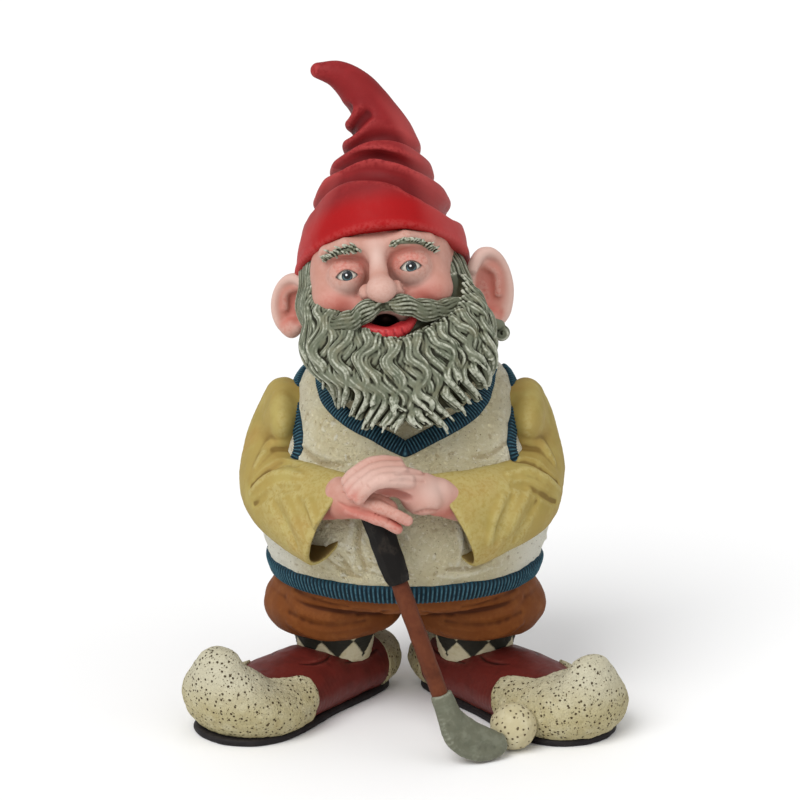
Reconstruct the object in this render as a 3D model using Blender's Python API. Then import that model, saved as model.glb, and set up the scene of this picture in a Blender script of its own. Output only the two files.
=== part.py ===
"""A garden gnome in painted cast resin, leaning on a golf club. Metres, +Z up, the face looks along -Y.

Every colour is a casting of its own, set into its neighbours with a glue gap, and steel pins join the heavy
ones. Point lists are in millimetres, and side 1 is the gnome's left, at +X.
"""

import math

import bmesh
import bpy
from mathutils import Matrix, Vector

MM = 0.001
GAP = 0.4 * MM  # glue gap between castings

# Driving dimensions
HEM_HEIGHT = 10 * MM
BAND_PROUD = 1.8 * MM  # how far the ribbed bands stand out of the vest
BAND_REACH = 6 * MM  # how far a band's tool reaches in and out of the vest's surface
NECK_BAND_WIDTH = 7.5 * MM
ARMHOLE_BAND_WIDTH = 6.5 * MM
VEST_WALL = 7 * MM

LEG_X = 32.5 * MM
LEG_Y = -2 * MM

SHOE_SPLAY = math.radians(41)
HEEL_TO_ANKLE = 29 * MM
SOLE_THICKNESS = 4.5 * MM
TOE_CAP_START = 66 * MM
HEEL_CAP_END = 11 * MM

HEAD_ROLL = math.radians(6.5)  # the brim rolls towards the gnome's right
BRIM_TILT = math.radians(32)  # and tips back
BRIM_CENTRE = Vector((-9.5, 0, 202))  # in mm
EYE_RADIUS = 7.5 * MM

BALL_RADIUS = 10.4 * MM
BALL_CENTRE = Vector((47.5, -71.5, 10.6)) * MM
CLUB_TOP = Vector((-17, -73, 118)) * MM
CLUB_HOSEL = Vector((15.5, -85, 29)) * MM
GRIP_RADIUS = 6.2 * MM
GRIP_END_RADIUS = 5.4 * MM
SHAFT_RADIUS = 4.5 * MM
GRIP_LENGTH = 42 * MM
CORE_RADIUS = 1.5 * MM
CORE_INSET = 10 * MM
PIN_RADIUS = 3 * MM
NECK_PIN_RADIUS = 3.6 * MM

COLOURS = {
    "hat_red": (0.48, 0.02, 0.02),
    "skin": (0.78, 0.42, 0.35),
    "hair_grey": (0.33, 0.35, 0.29),
    "lip_red": (0.62, 0.03, 0.05),
    "eye_white": (0.8, 0.8, 0.76),
    "knit_cream": (0.66, 0.6, 0.44),
    "knit_teal": (0.02, 0.09, 0.13),
    "sleeve_olive": (0.46, 0.4, 0.14),
    "trouser_brown": (0.3, 0.1, 0.03),
    "sock_cream": (0.66, 0.62, 0.48),
    "shoe_red_brown": (0.16, 0.02, 0.02),
    "shoe_cream": (0.66, 0.6, 0.45),
    "sole_black": (0.02, 0.02, 0.025),
    "grip_black": (0.015, 0.012, 0.012),
    "shaft_brown": (0.25, 0.07, 0.03),
    "club_grey": (0.24, 0.25, 0.22),
    "ball_cream": (0.66, 0.64, 0.5),
    "pin_steel": (0.5, 0.5, 0.5),
}


# --- shapes ---


def clear_scene():
    for old in list(bpy.data.objects):
        bpy.data.objects.remove(old)


def material(slot):
    """The painted finish of that name, made once."""
    found = bpy.data.materials.get(slot)
    if found:
        return found
    made = bpy.data.materials.new(slot)
    made.use_nodes = True
    shader = made.node_tree.nodes["Principled BSDF"]
    shader.inputs["Base Color"].default_value = (*COLOURS[slot], 1)
    shader.inputs["Roughness"].default_value = 0.35 if slot == "pin_steel" else 0.6
    shader.inputs["Metallic"].default_value = 1.0 if slot == "pin_steel" else 0.0
    return made


def add_object(name, bm, slot=None):
    bmesh.ops.recalc_face_normals(bm, faces=bm.faces)
    mesh = bpy.data.meshes.new(name)
    bm.to_mesh(mesh)
    bm.free()
    made = bpy.data.objects.new(name, mesh)
    bpy.context.scene.collection.objects.link(made)
    if slot:
        mesh.materials.append(material(slot))
        mesh.shade_smooth()
        mesh.set_sharp_from_angle(angle=math.radians(40))
    return made


def guide(made):
    """Makes an object a helper: it cuts or lends its shape, and is no part of the gnome."""
    made.hide_render = True
    made.display_type = "WIRE"
    return made


def smooth_row(rows, count):
    """count rows read from a Catmull-Rom curve through the given rows of numbers."""
    points = [Vector(row) for row in rows]
    points = [2 * points[0] - points[1], *points, 2 * points[-1] - points[-2]]
    found = []
    for i in range(count):
        place = i / (count - 1) * (len(rows) - 1)
        k = min(int(place), len(rows) - 2)
        t = place - k
        a, b, c, d = points[k : k + 4]
        bend = 2 * a - 5 * b + 4 * c - d
        twist = 3 * b - a - 3 * c + d
        found.append(0.5 * (2 * b + (c - a) * t + bend * t**2 + twist * t**3))
    return found


def skin(name, rings, slot=None, domes=(0.0, 0.0)):
    """A closed solid through rings of points. Each end closes in a fan, pushed out by its dome height."""
    bm = bmesh.new()
    rows = [[bm.verts.new(point) for point in ring] for ring in rings]
    sides = len(rows[0])
    for low, high in zip(rows, rows[1:]):
        for i in range(sides):
            j = (i + 1) % sides
            bm.faces.new((low[i], low[j], high[j], high[i]))
    for row, inner, dome in ((rings[0], rings[1], domes[0]), (rings[-1], rings[-2], domes[1])):
        middle = sum(row, Vector()) / sides
        outward = (middle - sum(inner, Vector()) / sides).normalized()
        tip = bm.verts.new(middle + outward * dome)
        edge = rows[0] if row is rings[0] else rows[-1]
        for i in range(sides):
            bm.faces.new((edge[i], edge[(i + 1) % sides], tip))
    return add_object(name, bm, slot)


def stack(name, stations, count, sides, slot=None, domes=(0.0, 0.0), power=2.0):
    """A body of level sections. A station is height, centre x, centre y, half width, half depth, in mm."""
    rings = []
    for z, x, y, wide, deep in (row * MM for row in smooth_row(stations, count)):
        ring = []
        for i in range(sides):
            angle = 2 * math.pi * i / sides
            c, s = math.cos(angle), math.sin(angle)
            cx = math.copysign(abs(c) ** (2 / power), c)
            sy = math.copysign(abs(s) ** (2 / power), s)
            ring.append(Vector((x + wide * cx, y + deep * sy, z)))
        rings.append(ring)
    return skin(name, rings, slot, domes)


def sweep(name, stations, count, sides, slot=None, domes=(0.0, 0.0), side_axis=(0, 0, 1)):
    """A body along a path. A station is x, y, z, half thickness, half height along side_axis, in mm."""
    rows = [row * MM for row in smooth_row(stations, count)]
    places = [row.xyz for row in (Vector(r[:3]) for r in rows)]
    rings = []
    for k, row in enumerate(rows):
        along = (places[min(k + 1, count - 1)] - places[max(k - 1, 0)]).normalized()
        across = along.cross(Vector(side_axis)).normalized()
        up = across.cross(along)
        ring = []
        for i in range(sides):
            angle = 2 * math.pi * i / sides
            ring.append(places[k] + across * row[3] * math.cos(angle) + up * row[4] * math.sin(angle))
        rings.append(ring)
    return skin(name, rings, slot, domes)


def rod(name, start, end, radius, slot=None, sides=10, end_radius=None):
    """A round rod from start to end, which tapers if it has an end radius."""
    length = (end - start).length
    bm = bmesh.new()
    bmesh.ops.create_cone(
        bm,
        cap_ends=True,
        segments=sides,
        radius1=radius,
        radius2=radius if end_radius is None else end_radius,
        depth=length,
    )
    turn = (end - start).to_track_quat("Z", "Y").to_matrix().to_4x4()
    bmesh.ops.transform(bm, matrix=Matrix.Translation((start + end) / 2) @ turn, verts=bm.verts)
    return add_object(name, bm, slot)


def ball(name, centre, radii, slot=None, sides=12, turn=None):
    """An ellipsoid with half sizes radii."""
    bm = bmesh.new()
    bmesh.ops.create_uvsphere(bm, u_segments=sides, v_segments=max(6, sides * 2 // 3), radius=1)
    size = Matrix.Diagonal((*radii, 1))
    bmesh.ops.transform(
        bm, matrix=Matrix.Translation(centre) @ (turn or Matrix.Identity(4)) @ size, verts=bm.verts
    )
    return add_object(name, bm, slot)


def block(name, low, high):
    """A box between two corners, as a guide."""
    bm = bmesh.new()
    bmesh.ops.create_cube(bm, size=1)
    low, high = Vector(low) * MM, Vector(high) * MM
    place = Matrix.Translation((low + high) / 2) @ Matrix.Diagonal((*(high - low), 1))
    bmesh.ops.transform(bm, matrix=place, verts=bm.verts)
    return guide(add_object(name, bm))


def band(name, path, width, depth):
    """A closed belt along path, a loop of (point on a surface, outward normal), as a guide."""
    bm = bmesh.new()
    rings = []
    count = len(path)
    for k, (point, outward) in enumerate(path):
        along = (path[(k + 1) % count][0] - path[k - 1][0]).normalized()
        across = outward.cross(along).normalized()
        rings.append(
            [
                bm.verts.new(point + across * width / 2 * a + outward * depth * b)
                for a, b in ((-1, -1), (1, -1), (1, 1), (-1, 1))
            ]
        )
    for k in range(count):
        low, high = rings[k], rings[(k + 1) % count]
        for i in range(4):
            j = (i + 1) % 4
            bm.faces.new((low[i], low[j], high[j], high[i]))
    return guide(add_object(name, bm))


# --- joining and clearing ---


def grown(piece, by):
    """A guide of the piece's own mesh with its surface moved out, or in if by is negative."""
    copy = piece.copy()
    copy.data = piece.data.copy()
    copy.modifiers.clear()
    copy.name = f"guide_{piece.name}"
    bpy.context.scene.collection.objects.link(copy)
    normals = [vertex.normal.copy() for vertex in copy.data.vertices]
    for vertex, normal in zip(copy.data.vertices, normals):
        vertex.co += normal * by
    return guide(copy)


def combine(piece, other, operation):
    modifier = piece.modifiers.new(f"{operation.lower()}_{other.name}", "BOOLEAN")
    modifier.operation = operation
    modifier.solver = "EXACT"
    modifier.use_self = True
    modifier.object = other
    return piece


def clear_of(piece, *neighbours, gap=GAP):
    """Takes out of the piece the room that each neighbour fills, with the glue gap round it."""
    for neighbour in neighbours:
        combine(piece, grown(neighbour, gap), "DIFFERENCE")
    return piece


def cut(piece, *guides):
    for tool in guides:
        combine(piece, tool, "DIFFERENCE")
    return piece


# --- body ---

TORSO = (
    # height, centre x, centre y, half width, half depth
    (62, 0, -4, 59, 52),
    (75, 0, -5, 63, 56),
    (92, 0, -6, 66, 60),
    (112, 0, -5, 63, 57),
    (132, 0, -2, 56.5, 50.5),
    (145, 0, 0, 52, 43.5),
    (153, 0, 1, 47, 37),
    (158.5, 0, 2, 39.5, 29),
    (161.5, 0, 3, 29, 20),
)
NECK_LINE = (
    # angle round the vest from its left side, height: low in front, high behind
    (-90, 131.5),
    (-80, 135.8),
    (-70, 139.5),
    (-60, 143),
    (-50, 147.5),
    (-40, 153),
    (-28, 157),
    (-5, 159),
    (25, 159.3),
    (60, 159),
    (90, 158.5),
)
ARMHOLE_CENTRE = (-4, 135)  # in y and z
ARMHOLE_RADII = (25, 17)


def torso_row(z):
    """The torso's station at a height in mm."""
    rows = smooth_row(TORSO, 197)
    return min(rows, key=lambda row: abs(row[0] - z))


def torso_surface(angle, z):
    """The point of the vest's surface at an angle (0 at +X, -90 degrees in front) and height, in mm."""
    row = torso_row(z)
    return Vector((row[1] + row[3] * math.cos(angle), row[2] + row[4] * math.sin(angle), z))


def torso_point(angle, z):
    """The same point in metres, with the surface's outward normal."""
    here = torso_surface(angle, z)
    round_way = torso_surface(angle + 0.02, z) - torso_surface(angle - 0.02, z)
    up_way = torso_surface(angle, z + 2) - torso_surface(angle, z - 2)
    return here * MM, round_way.cross(up_way).normalized()


def neck_loop():
    half = [(math.radians(row[0]), row[1]) for row in smooth_row(NECK_LINE, 12)]
    other = [(math.pi - angle, z) for angle, z in reversed(half[1:-1])]
    return [torso_point(angle, z) for angle, z in half + other]


def armhole_loop(side, count=16):
    """The armhole's line on the vest: from the shoulder down the front to the armpit, and up the back."""
    loop = []
    for k in range(count):
        turn = 2 * math.pi * k / count
        y = ARMHOLE_CENTRE[0] - ARMHOLE_RADII[0] * math.sin(turn)
        z = ARMHOLE_CENTRE[1] + ARMHOLE_RADII[1] * math.cos(turn)
        row = torso_row(z)
        angle = math.asin((y - row[2]) / row[4])
        point, normal = torso_point(angle, z)
        flip = Vector((side, 1, 1))
        loop.append((point * flip, normal * flip))
    return loop


def knit_band(name, vest, tool):
    """A ribbed band: the strip of a skin over the vest that lies inside the tool."""
    made = grown(vest, BAND_PROUD + GAP)
    made.name = name
    made.hide_render = False
    made.display_type = "TEXTURED"
    made.data.materials.clear()
    made.data.materials.append(material("knit_teal"))
    combine(made, tool, "INTERSECT")
    return clear_of(made, vest)


def make_vest():
    """The torso casting: a cup open at the bottom, where the trousers' spigot goes in."""
    vest = stack("vest", TORSO, 12, 22, "knit_cream", (0, 2 * MM))
    hollow = grown(vest, -VEST_WALL)
    hollow.data.transform(Matrix.Translation((0, 0, -1.7 * VEST_WALL)))
    return cut(vest, hollow)


def make_bands(vest):
    hem_z = TORSO[0][0] + 0.2
    tools = {
        "hem_band": block("guide_hem", (-90, -90, hem_z), (90, 90, hem_z + HEM_HEIGHT / MM)),
        "neck_band": band("guide_neck", neck_loop(), NECK_BAND_WIDTH, BAND_REACH),
        "armhole_band_left": band("guide_armhole_left", armhole_loop(1), ARMHOLE_BAND_WIDTH, BAND_REACH),
        "armhole_band_right": band("guide_armhole_right", armhole_loop(-1), ARMHOLE_BAND_WIDTH, BAND_REACH),
    }
    return {name: knit_band(name, vest, tool) for name, tool in tools.items()}


SHOULDER = ((50, -4, 136), (12.5, 21.5, 15.5))  # centre and half sizes of the sleeve's head
UPPER_ARMS = {
    # x, y, z, half height in the arm's plane, half thickness across it
    "left": ((50, -4, 143, 13, 9), (52.5, -5, 133, 16, 11), (56, -9, 120, 16.5, 12), (56.5, -20, 110, 17, 13.5)),
    "right": ((51, -4, 143, 13, 9), (54.5, -5, 133, 16, 11), (58, -9, 120, 16.5, 12.5), (59.5, -20, 110, 17, 14)),
}
FOREARMS = {
    "left": ((52, -37, 105.5, 18, 14), (36, -54, 103.5, 20, 12.5), (17, -67, 102, 21.5, 11)),
    "right": ((56, -33, 106, 18, 14), (46, -49, 104, 20, 12.5), (34.5, -63, 103, 21.5, 11)),
}
CUFF_HOLLOWS = {
    "left": ((38, -48, 103.5, 8, 7), (25, -58, 103, 16, 12.5), (8.5, -69, 102, 21, 14)),
    "right": ((46.5, -41.5, 105, 9, 8), (38.5, -53, 104, 16, 12.5), (28, -66, 103, 21, 14)),
}
ARM_PLANE = (0.85, -0.53, 0.3)  # across the plane that the left arm bends in


def mirrored(stations, side):
    return [(row[0] * side, *row[1:]) for row in stations]


def make_sleeve(label, side, *neighbours):
    """A wide sleeve with a bell cuff, hollow at the mouth."""
    across = (ARM_PLANE[0] * side, *ARM_PLANE[1:])
    path = mirrored(UPPER_ARMS[label] + FOREARMS[label], side)
    sleeve = sweep(f"sleeve_{label}", path, 10, 14, "sleeve_olive", (2 * MM, 0), across)
    centre, sizes = SHOULDER
    centre = Vector((centre[0] * side, *centre[1:])) * MM
    head = guide(ball(f"guide_sleeve_head_{label}", centre, [size * MM for size in sizes], None, 14))
    combine(sleeve, head, "UNION")
    path = mirrored(CUFF_HOLLOWS[label], side)
    cut(sleeve, guide(sweep(f"guide_cuff_hollow_{label}", path, 4, 12, None, (3 * MM, 0), across)))
    return clear_of(sleeve, *neighbours)


# --- legs and shoes ---

PELVIS = (
    (48.5, 0, -3, 30, 22),
    (51.5, 0, -3, 47, 36),
    (56, 0, -3, 58.5, 48),
    (61.3, 0, -4, 58, 50),
)
SPIGOT = (
    (57.3, 0, -4, 47, 40),
    (64, 0, -4, 48, 41),
    (70, 0, -4, 46, 39),
)
LEG = (
    # as for a leg at x = 0: height, x, y, half width, half depth
    (34.5, 0, 0, 23, 23),
    (37, 0, 0, 28, 29),
    (42, 0, 0, 31.5, 33.5),
    (48, 0, 0, 32.3, 35.5),
    (54.2, 0, 0, 29.5, 34),
    (58.7, 0, 0, 25, 30),
)
SOCK = (
    # as for a leg at x = 0
    (19, 0, 0, 19, 19),
    (27, 0, 0, 19.5, 19.5),
    (36, 0, 0, 20.5, 20.5),
    (43, 0, 0, 20, 20),
)
ANKLE_PIN_ENDS = (9, 56)  # heights
SHOE = (
    # forward from the heel, sideways, height, half height, half width: the toe turns up
    (4, 0, 14, 12, 13.5),
    (13, 0, 14, 14, 16.5),
    (29, 0, 14, 13, 18),
    (48, 0, 14.5, 16.5, 20.5),
    (64, 0, 13.5, 15, 23.5),
    (80, 0, 12, 13.5, 27),
    (91, 0, 14, 15, 26),
    (99, 0, 20.5, 15, 21.5),
    (103, 0, 30, 10.5, 14),
    (103.5, 0, 38, 7, 9),
)
SOLE_OUTLINE = (
    # forward from the heel, half width
    (0, 0),
    (2, 9),
    (9, 15.5),
    (29, 18),
    (50, 20.5),
    (72, 26),
    (90, 27),
    (104, 20),
    (111, 9),
    (113, 0),
)


def shoe_frame(side):
    """Carries a shoe made along +X, heel at the origin, to its place. Side 1 is the gnome's left."""
    forward = Vector((math.sin(SHOE_SPLAY) * side, -math.cos(SHOE_SPLAY), 0))
    across = Vector((0, 0, 1)).cross(forward)
    heel = Vector((LEG_X * side, LEG_Y, 0)) - forward * HEEL_TO_ANKLE
    return Matrix((
        (forward.x, across.x, 0, heel.x),
        (forward.y, across.y, 0, heel.y),
        (0, 0, 1, 0),
        (0, 0, 0, 1),
    ))


def make_sole(name, side):
    half = smooth_row(SOLE_OUTLINE, 15)
    outline = [(row[0], row[1]) for row in half] + [(row[0], -row[1]) for row in reversed(half[1:-1])]
    bm = bmesh.new()
    face = bm.faces.new([bm.verts.new((x * MM, y * MM, 0)) for x, y in outline])
    grown_up = bmesh.ops.extrude_face_region(bm, geom=[face])["geom"]
    top = [item for item in grown_up if isinstance(item, bmesh.types.BMVert)]
    bmesh.ops.translate(bm, vec=(0, 0, SOLE_THICKNESS), verts=top)
    bmesh.ops.transform(bm, matrix=shoe_frame(side), verts=bm.verts)
    return add_object(name, bm, "sole_black")


def shoe_slice(name, side, slot, start, end):
    """The part of the shoe between two distances from the heel, standing on the sole."""
    made = sweep(name, SHOE, 19, 16, slot, (4 * MM, 4 * MM), (0, 1, 0))
    made.data.transform(shoe_frame(side))
    keep = block(f"guide_{name}", (start, -60, (SOLE_THICKNESS + GAP) / MM), (end, 60, 90))
    keep.data.transform(shoe_frame(side))
    return combine(made, keep, "INTERSECT")


def make_leg(label, side):
    """A sock, its pin, and a two-tone shoe: sole, heel cap, upper and turned-up toe cap."""
    ankle = Vector((LEG_X * side, LEG_Y, 0))
    sock = stack(f"sock_{label}", SOCK, 5, 18, "sock_cream")
    sock.data.transform(Matrix.Translation(ankle))
    low, high = (ankle + Vector((0, 0, z)) * MM for z in ANKLE_PIN_ENDS)
    pin = rod(f"ankle_pin_{label}", low, high, PIN_RADIUS, "pin_steel")
    sole = make_sole(f"sole_{label}", side)
    cuts = [HEEL_CAP_END / MM, (HEEL_CAP_END + GAP) / MM, (TOE_CAP_START - GAP) / MM, TOE_CAP_START / MM]
    heel = shoe_slice(f"heel_cap_{label}", side, "shoe_cream", -20, cuts[0])
    upper = shoe_slice(f"shoe_upper_{label}", side, "shoe_red_brown", cuts[1], cuts[2])
    toe = shoe_slice(f"toe_cap_{label}", side, "shoe_cream", cuts[3], 150)
    clear_of(sock, pin)
    clear_of(upper, sock, pin)
    clear_of(heel, sock)
    return {"sock": sock, "pin": pin, "sole": sole, "toe": toe}


def make_trousers(legs):
    """Baggy plus-fours in one casting: the seat, two leg bags, and the spigot inside the vest."""
    trousers = stack("trousers", PELVIS, 6, 22, "trouser_brown", (1 * MM, 0))
    combine(trousers, guide(stack("guide_spigot", SPIGOT, 3, 20)), "UNION")
    for side in (1, -1):
        bag = guide(stack(f"guide_leg_bag_{side}", LEG, 8, 18, None, (0, 1.5 * MM)))
        bag.data.transform(Matrix.Translation((LEG_X * side, LEG_Y, 0)))
        combine(trousers, bag, "UNION")
    for leg in legs:
        clear_of(trousers, leg["sock"], leg["pin"])
    return trousers


# --- head ---

HEAD = (
    (151, -1, 0, 20, 20),
    (160, -2, -1, 24, 25),
    (172, -5, -5, 34, 37),
    (185, -7, -6, 37, 41),
    (200, -9, -4, 37, 41),
    (215, -11, 0, 34, 37),
    (228, -12, 4, 27, 29),
    (238, -13, 6, 15, 16),
)
HAIR = (
    (158, -2, 4, 30, 34),
    (170, -4, 2, 38, 42),
    (185, -7, 0, 41, 45),
    (200, -9, 1, 41, 45),
    (213, -10, 3, 38, 42),
    (224, -11, 6, 33, 37),
)
HAT = (
    # x, y, z, half width, half depth: the brim tips back, and the point curls to the gnome's right
    (-9.5, 2, 172, 37.5, 44),
    (-9.5, 2, 190, 39, 46.5),
    (-10, 2, 206, 38.5, 46.5),
    (-10.5, 4, 220, 34, 43.5),
    (-10.5, 8, 233, 27, 33.5),
    (-10.3, 11, 245, 20.8, 24.5),
    (-11.5, 13, 257, 15.3, 17),
    (-15.6, 14, 270, 11, 12),
    (-22, 14, 280, 8.6, 9),
    (-30, 13, 286.5, 6.2, 6.2),
    (-38.5, 12, 288.3, 3.9, 3.9),
)
BEARD = (
    (142.5, 0, -60, 7, 9),
    (149, 0, -56, 24, 16),
    (158, -1, -49, 36, 22),
    (168, -2, -43, 44, 26),
    (179, -4, -37, 45, 26),
    (189, -5, -31, 41, 23),
    (196, -6, -27, 37, 20),
)
MOUSTACHE = (
    (-44, -27, 182, 4, 5),
    (-32, -42, 184, 5.5, 6),
    (-20, -50, 190, 5.5, 6),
    (-8, -53, 195, 5, 5),
    (4, -50, 192, 5.5, 6),
    (17, -42, 188, 5.5, 6),
    (28, -28, 187, 4, 5),
)
LIP = (
    (-17, -50, 185, 2.5, 2),
    (-12, -54, 181.5, 3.5, 2.8),
    (-5, -56, 180.5, 3.5, 2.8),
    (2, -52, 185, 2.5, 2),
)
EYES = {"left": (2.5, -35.5, 208.5), "right": (-25, -35, 206)}
BROWS = {
    "left": ((-4, -36.5, 218.5, 1.8, 1.8), (3, -34, 220.5, 2.6, 2.2), (12, -27, 218, 1.8, 1.6)),
    "right": ((-20, -38.5, 216, 1.8, 1.8), (-27, -36, 216, 2.6, 2.2), (-35, -28.5, 212, 1.8, 1.6)),
}
EARS = {
    # centre, half sizes, lean sideways, turn outwards in degrees
    "left": ((37, 1, 192.5), (11, 5.5, 18.5), -12, 32),
    "right": ((-50.5, 1, 184.5), (10, 5.5, 15), 14, -32),
}
NOSE = ((-11.3, -50.5, 203.5), (7, 9, 6.5))
NOSE_BRIDGE = ((-12, -38, 219, 2.5, 4), (-11.7, -45, 211, 4, 4.5), (-11.3, -51, 204, 4.5, 4))


def tipped_block(name, centre, tilt, roll, size=120):
    """A half space guide: everything above a plane through centre that leans back and rolls over."""
    bm = bmesh.new()
    bmesh.ops.create_cube(bm, size=2 * size * MM)
    bmesh.ops.translate(bm, vec=(0, 0, size * MM), verts=bm.verts)
    turn = Matrix.Rotation(roll, 4, "Y") @ Matrix.Rotation(-tilt, 4, "X")
    bmesh.ops.transform(bm, matrix=Matrix.Translation(Vector(centre) * MM) @ turn, verts=bm.verts)
    return guide(add_object(name, bm))


def set_eyes(head):
    for label, centre in EYES.items():
        clear_of(head, ball(f"eye_{label}", Vector(centre) * MM, [EYE_RADIUS] * 3, "eye_white"))


def make_brows(head):
    for label, stations in BROWS.items():
        brow = sweep(f"eyebrow_{label}", stations, 6, 8, "hair_grey", (1 * MM, 1 * MM))
        clear_of(brow, head)


def make_ears(*neighbours):
    for label, (centre, sizes, lean, outward) in EARS.items():
        turn = Matrix.Rotation(math.radians(outward), 4, "Z") @ Matrix.Rotation(math.radians(lean), 4, "Y")
        radii = [size * MM for size in sizes]
        ear = ball(f"ear_{label}", Vector(centre) * MM, radii, "skin", 14, turn)
        clear_of(ear, *neighbours)


def make_head(vest, neck_band):
    """The head casting with its nose, and the castings set on it."""
    head = stack("head", HEAD, 11, 18, "skin", (0, 3 * MM))
    nose = guide(ball("guide_nose", Vector(NOSE[0]) * MM, [size * MM for size in NOSE[1]]))
    bridge = guide(sweep("guide_nose_bridge", NOSE_BRIDGE, 5, 10, None, (1 * MM, 1 * MM), (1, 0, 0)))
    combine(head, bridge, "UNION")
    combine(head, nose, "UNION")

    hat = sweep("hat", HAT, 17, 18, "hat_red", (0, 3 * MM), (0, 1, 0))
    combine(hat, tipped_block("guide_brim", BRIM_CENTRE, BRIM_TILT, -HEAD_ROLL), "INTERSECT")
    clear_of(hat, head)
    hair = stack("hair", HAIR, 7, 18, "hair_grey")
    under_brim = BRIM_CENTRE - Vector((0, 0, GAP / MM))
    cut(hair, tipped_block("guide_under_brim", under_brim, BRIM_TILT, -HEAD_ROLL))
    cut(hair, block("guide_face", (-90, -90, 100), (90, -15, 300)))
    clear_of(hair, head)

    set_eyes(head)
    make_brows(head)
    make_ears(hair, head, hat)
    clear_of(head, vest)
    beard = stack("beard", BEARD, 9, 16, "hair_grey", (2 * MM, 2 * MM))
    moustache = sweep("moustache", MOUSTACHE, 13, 9, "hair_grey", (3 * MM, 3 * MM))
    lip = sweep("lower_lip", LIP, 8, 10, "lip_red", (1 * MM, 1 * MM))
    clear_of(beard, head, vest, neck_band, lip, moustache)
    clear_of(moustache, head, nose)
    clear_of(lip, head, moustache)
    clear_of(hair, vest, neck_band, beard, moustache)
    return head


# --- hands and club ---

HAND_OVER = (
    # x, y, z, half thickness, half height: from the wrist's end in its sleeve to the fingertips
    (52, -47.5, 105.5, 5, 7),
    (43, -57.5, 106.5, 5.5, 7.5),
    (26, -66, 109, 6, 8),
    (16, -71, 115, 8, 10),
    (4, -76, 120.5, 9, 11.5),
    (-8, -79, 122.5, 9, 11.5),
    (-19, -80, 119.5, 8.5, 10.5),
    (-27, -78.5, 114.5, 6.5, 7.5),
)
HAND_UNDER = (
    (-52, -47.5, 106, 5, 7),
    (-44, -57, 107, 5.5, 7.5),
    (-36, -62.5, 109, 6, 8),
    (-28, -67, 110.5, 8, 10),
    (-17, -74, 110, 9, 11),
    (-7, -78, 107.5, 9.5, 10.5),
    (2, -80, 105.5, 8.5, 9),
    (9, -79, 104, 6, 6),
)
CLUB_HEAD = (
    # x, y, z, half thickness, half width: the neck, then the blade bent towards the ball
    (15.5, -85, 31, 4.8, 5),
    (18.5, -87, 23, 5, 6),
    (24, -88, 13.5, 5, 8.2),
    (32, -86.5, 8.4, 4.6, 8),
    (41, -83, 7, 3.2, 5.8),
)


def make_hands(vest, club):
    over = sweep("hand_left", HAND_OVER, 12, 12, "skin", (2 * MM, 3 * MM), (0, 0, 1))
    under = sweep("hand_right", HAND_UNDER, 12, 12, "skin", (2 * MM, 3 * MM), (0, 0, 1))
    clear_of(over, vest, under, *club)
    clear_of(under, vest, *club)
    return over, under


def make_club():
    """The club: a tapered grip and a shaft threaded on a wire core, and an iron's head."""
    down = (CLUB_HOSEL - CLUB_TOP).normalized()
    joint = CLUB_TOP + down * GRIP_LENGTH
    grip = rod("club_grip", CLUB_TOP, joint, GRIP_RADIUS, "grip_black", 8, GRIP_END_RADIUS)
    shaft = rod("club_shaft", joint + down * GAP, CLUB_HOSEL, SHAFT_RADIUS, "shaft_brown", 12)
    core_start = CLUB_TOP + down * CORE_INSET
    core = rod("club_core_wire", core_start, CLUB_HOSEL + down * CORE_INSET, CORE_RADIUS, "pin_steel")
    head = sweep("club_head", CLUB_HEAD, 11, 14, "club_grey", (0.5 * MM, 2 * MM), (0, 0.5, 1))
    clear_of(grip, core)
    clear_of(shaft, core)
    clear_of(head, core, shaft)
    return [grip, shaft, head, core]


NECK_PIN = ((-1, 0, 132), (-4, -1, 180))
ARM_PIN = ((42, -6, 128), (63, -9, 128))


def make_pins(vest, head, sleeves):
    """Steel pins that carry the head and the arms."""
    low, high = (Vector(end) * MM for end in NECK_PIN)
    neck = rod("neck_pin", low, high, NECK_PIN_RADIUS, "pin_steel")
    clear_of(vest, neck)
    clear_of(head, neck)
    for label, side, sleeve in (("left", 1, sleeves[0]), ("right", -1, sleeves[1])):
        start, end = (Vector(place) * MM for place in mirrored(ARM_PIN, side))
        pin = rod(f"arm_pin_{label}", start, end, PIN_RADIUS, "pin_steel")
        clear_of(vest, pin)
        clear_of(sleeve, pin)


def centre_on_origin(outermost):
    """Parents everything to an empty that brings the middle of the footprint to the origin."""
    corners = [vertex.co for piece in outermost for vertex in piece.data.vertices]
    origin = bpy.data.objects.new("origin", None)
    for axis in (0, 1):
        values = [corner[axis] for corner in corners]
        origin.location[axis] = -(min(values) + max(values)) / 2
    bpy.context.scene.collection.objects.link(origin)
    for piece in bpy.data.objects:
        if piece is not origin:
            piece.parent = origin


def main():
    clear_scene()
    vest = make_vest()
    bands = make_bands(vest)
    club = make_club()
    hand_left, hand_right = make_hands(vest, club)
    sleeves = [
        make_sleeve("left", 1, vest, bands["armhole_band_left"], hand_left),
        make_sleeve("right", -1, vest, bands["armhole_band_right"], hand_right),
    ]
    legs = [make_leg("left", 1), make_leg("right", -1)]
    make_trousers(legs)
    head = make_head(vest, bands["neck_band"])
    make_pins(vest, head, sleeves)
    golf_ball = ball("golf_ball", BALL_CENTRE, [BALL_RADIUS] * 3, "ball_cream", 16)
    club_head = club[2]
    clear_of(club_head, golf_ball)
    clear_of(legs[0]["toe"], golf_ball, club_head)
    clear_of(legs[0]["sole"], golf_ball, club_head)
    centre_on_origin([vest, club_head, legs[0]["sole"], legs[1]["sole"]])


main()
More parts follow.
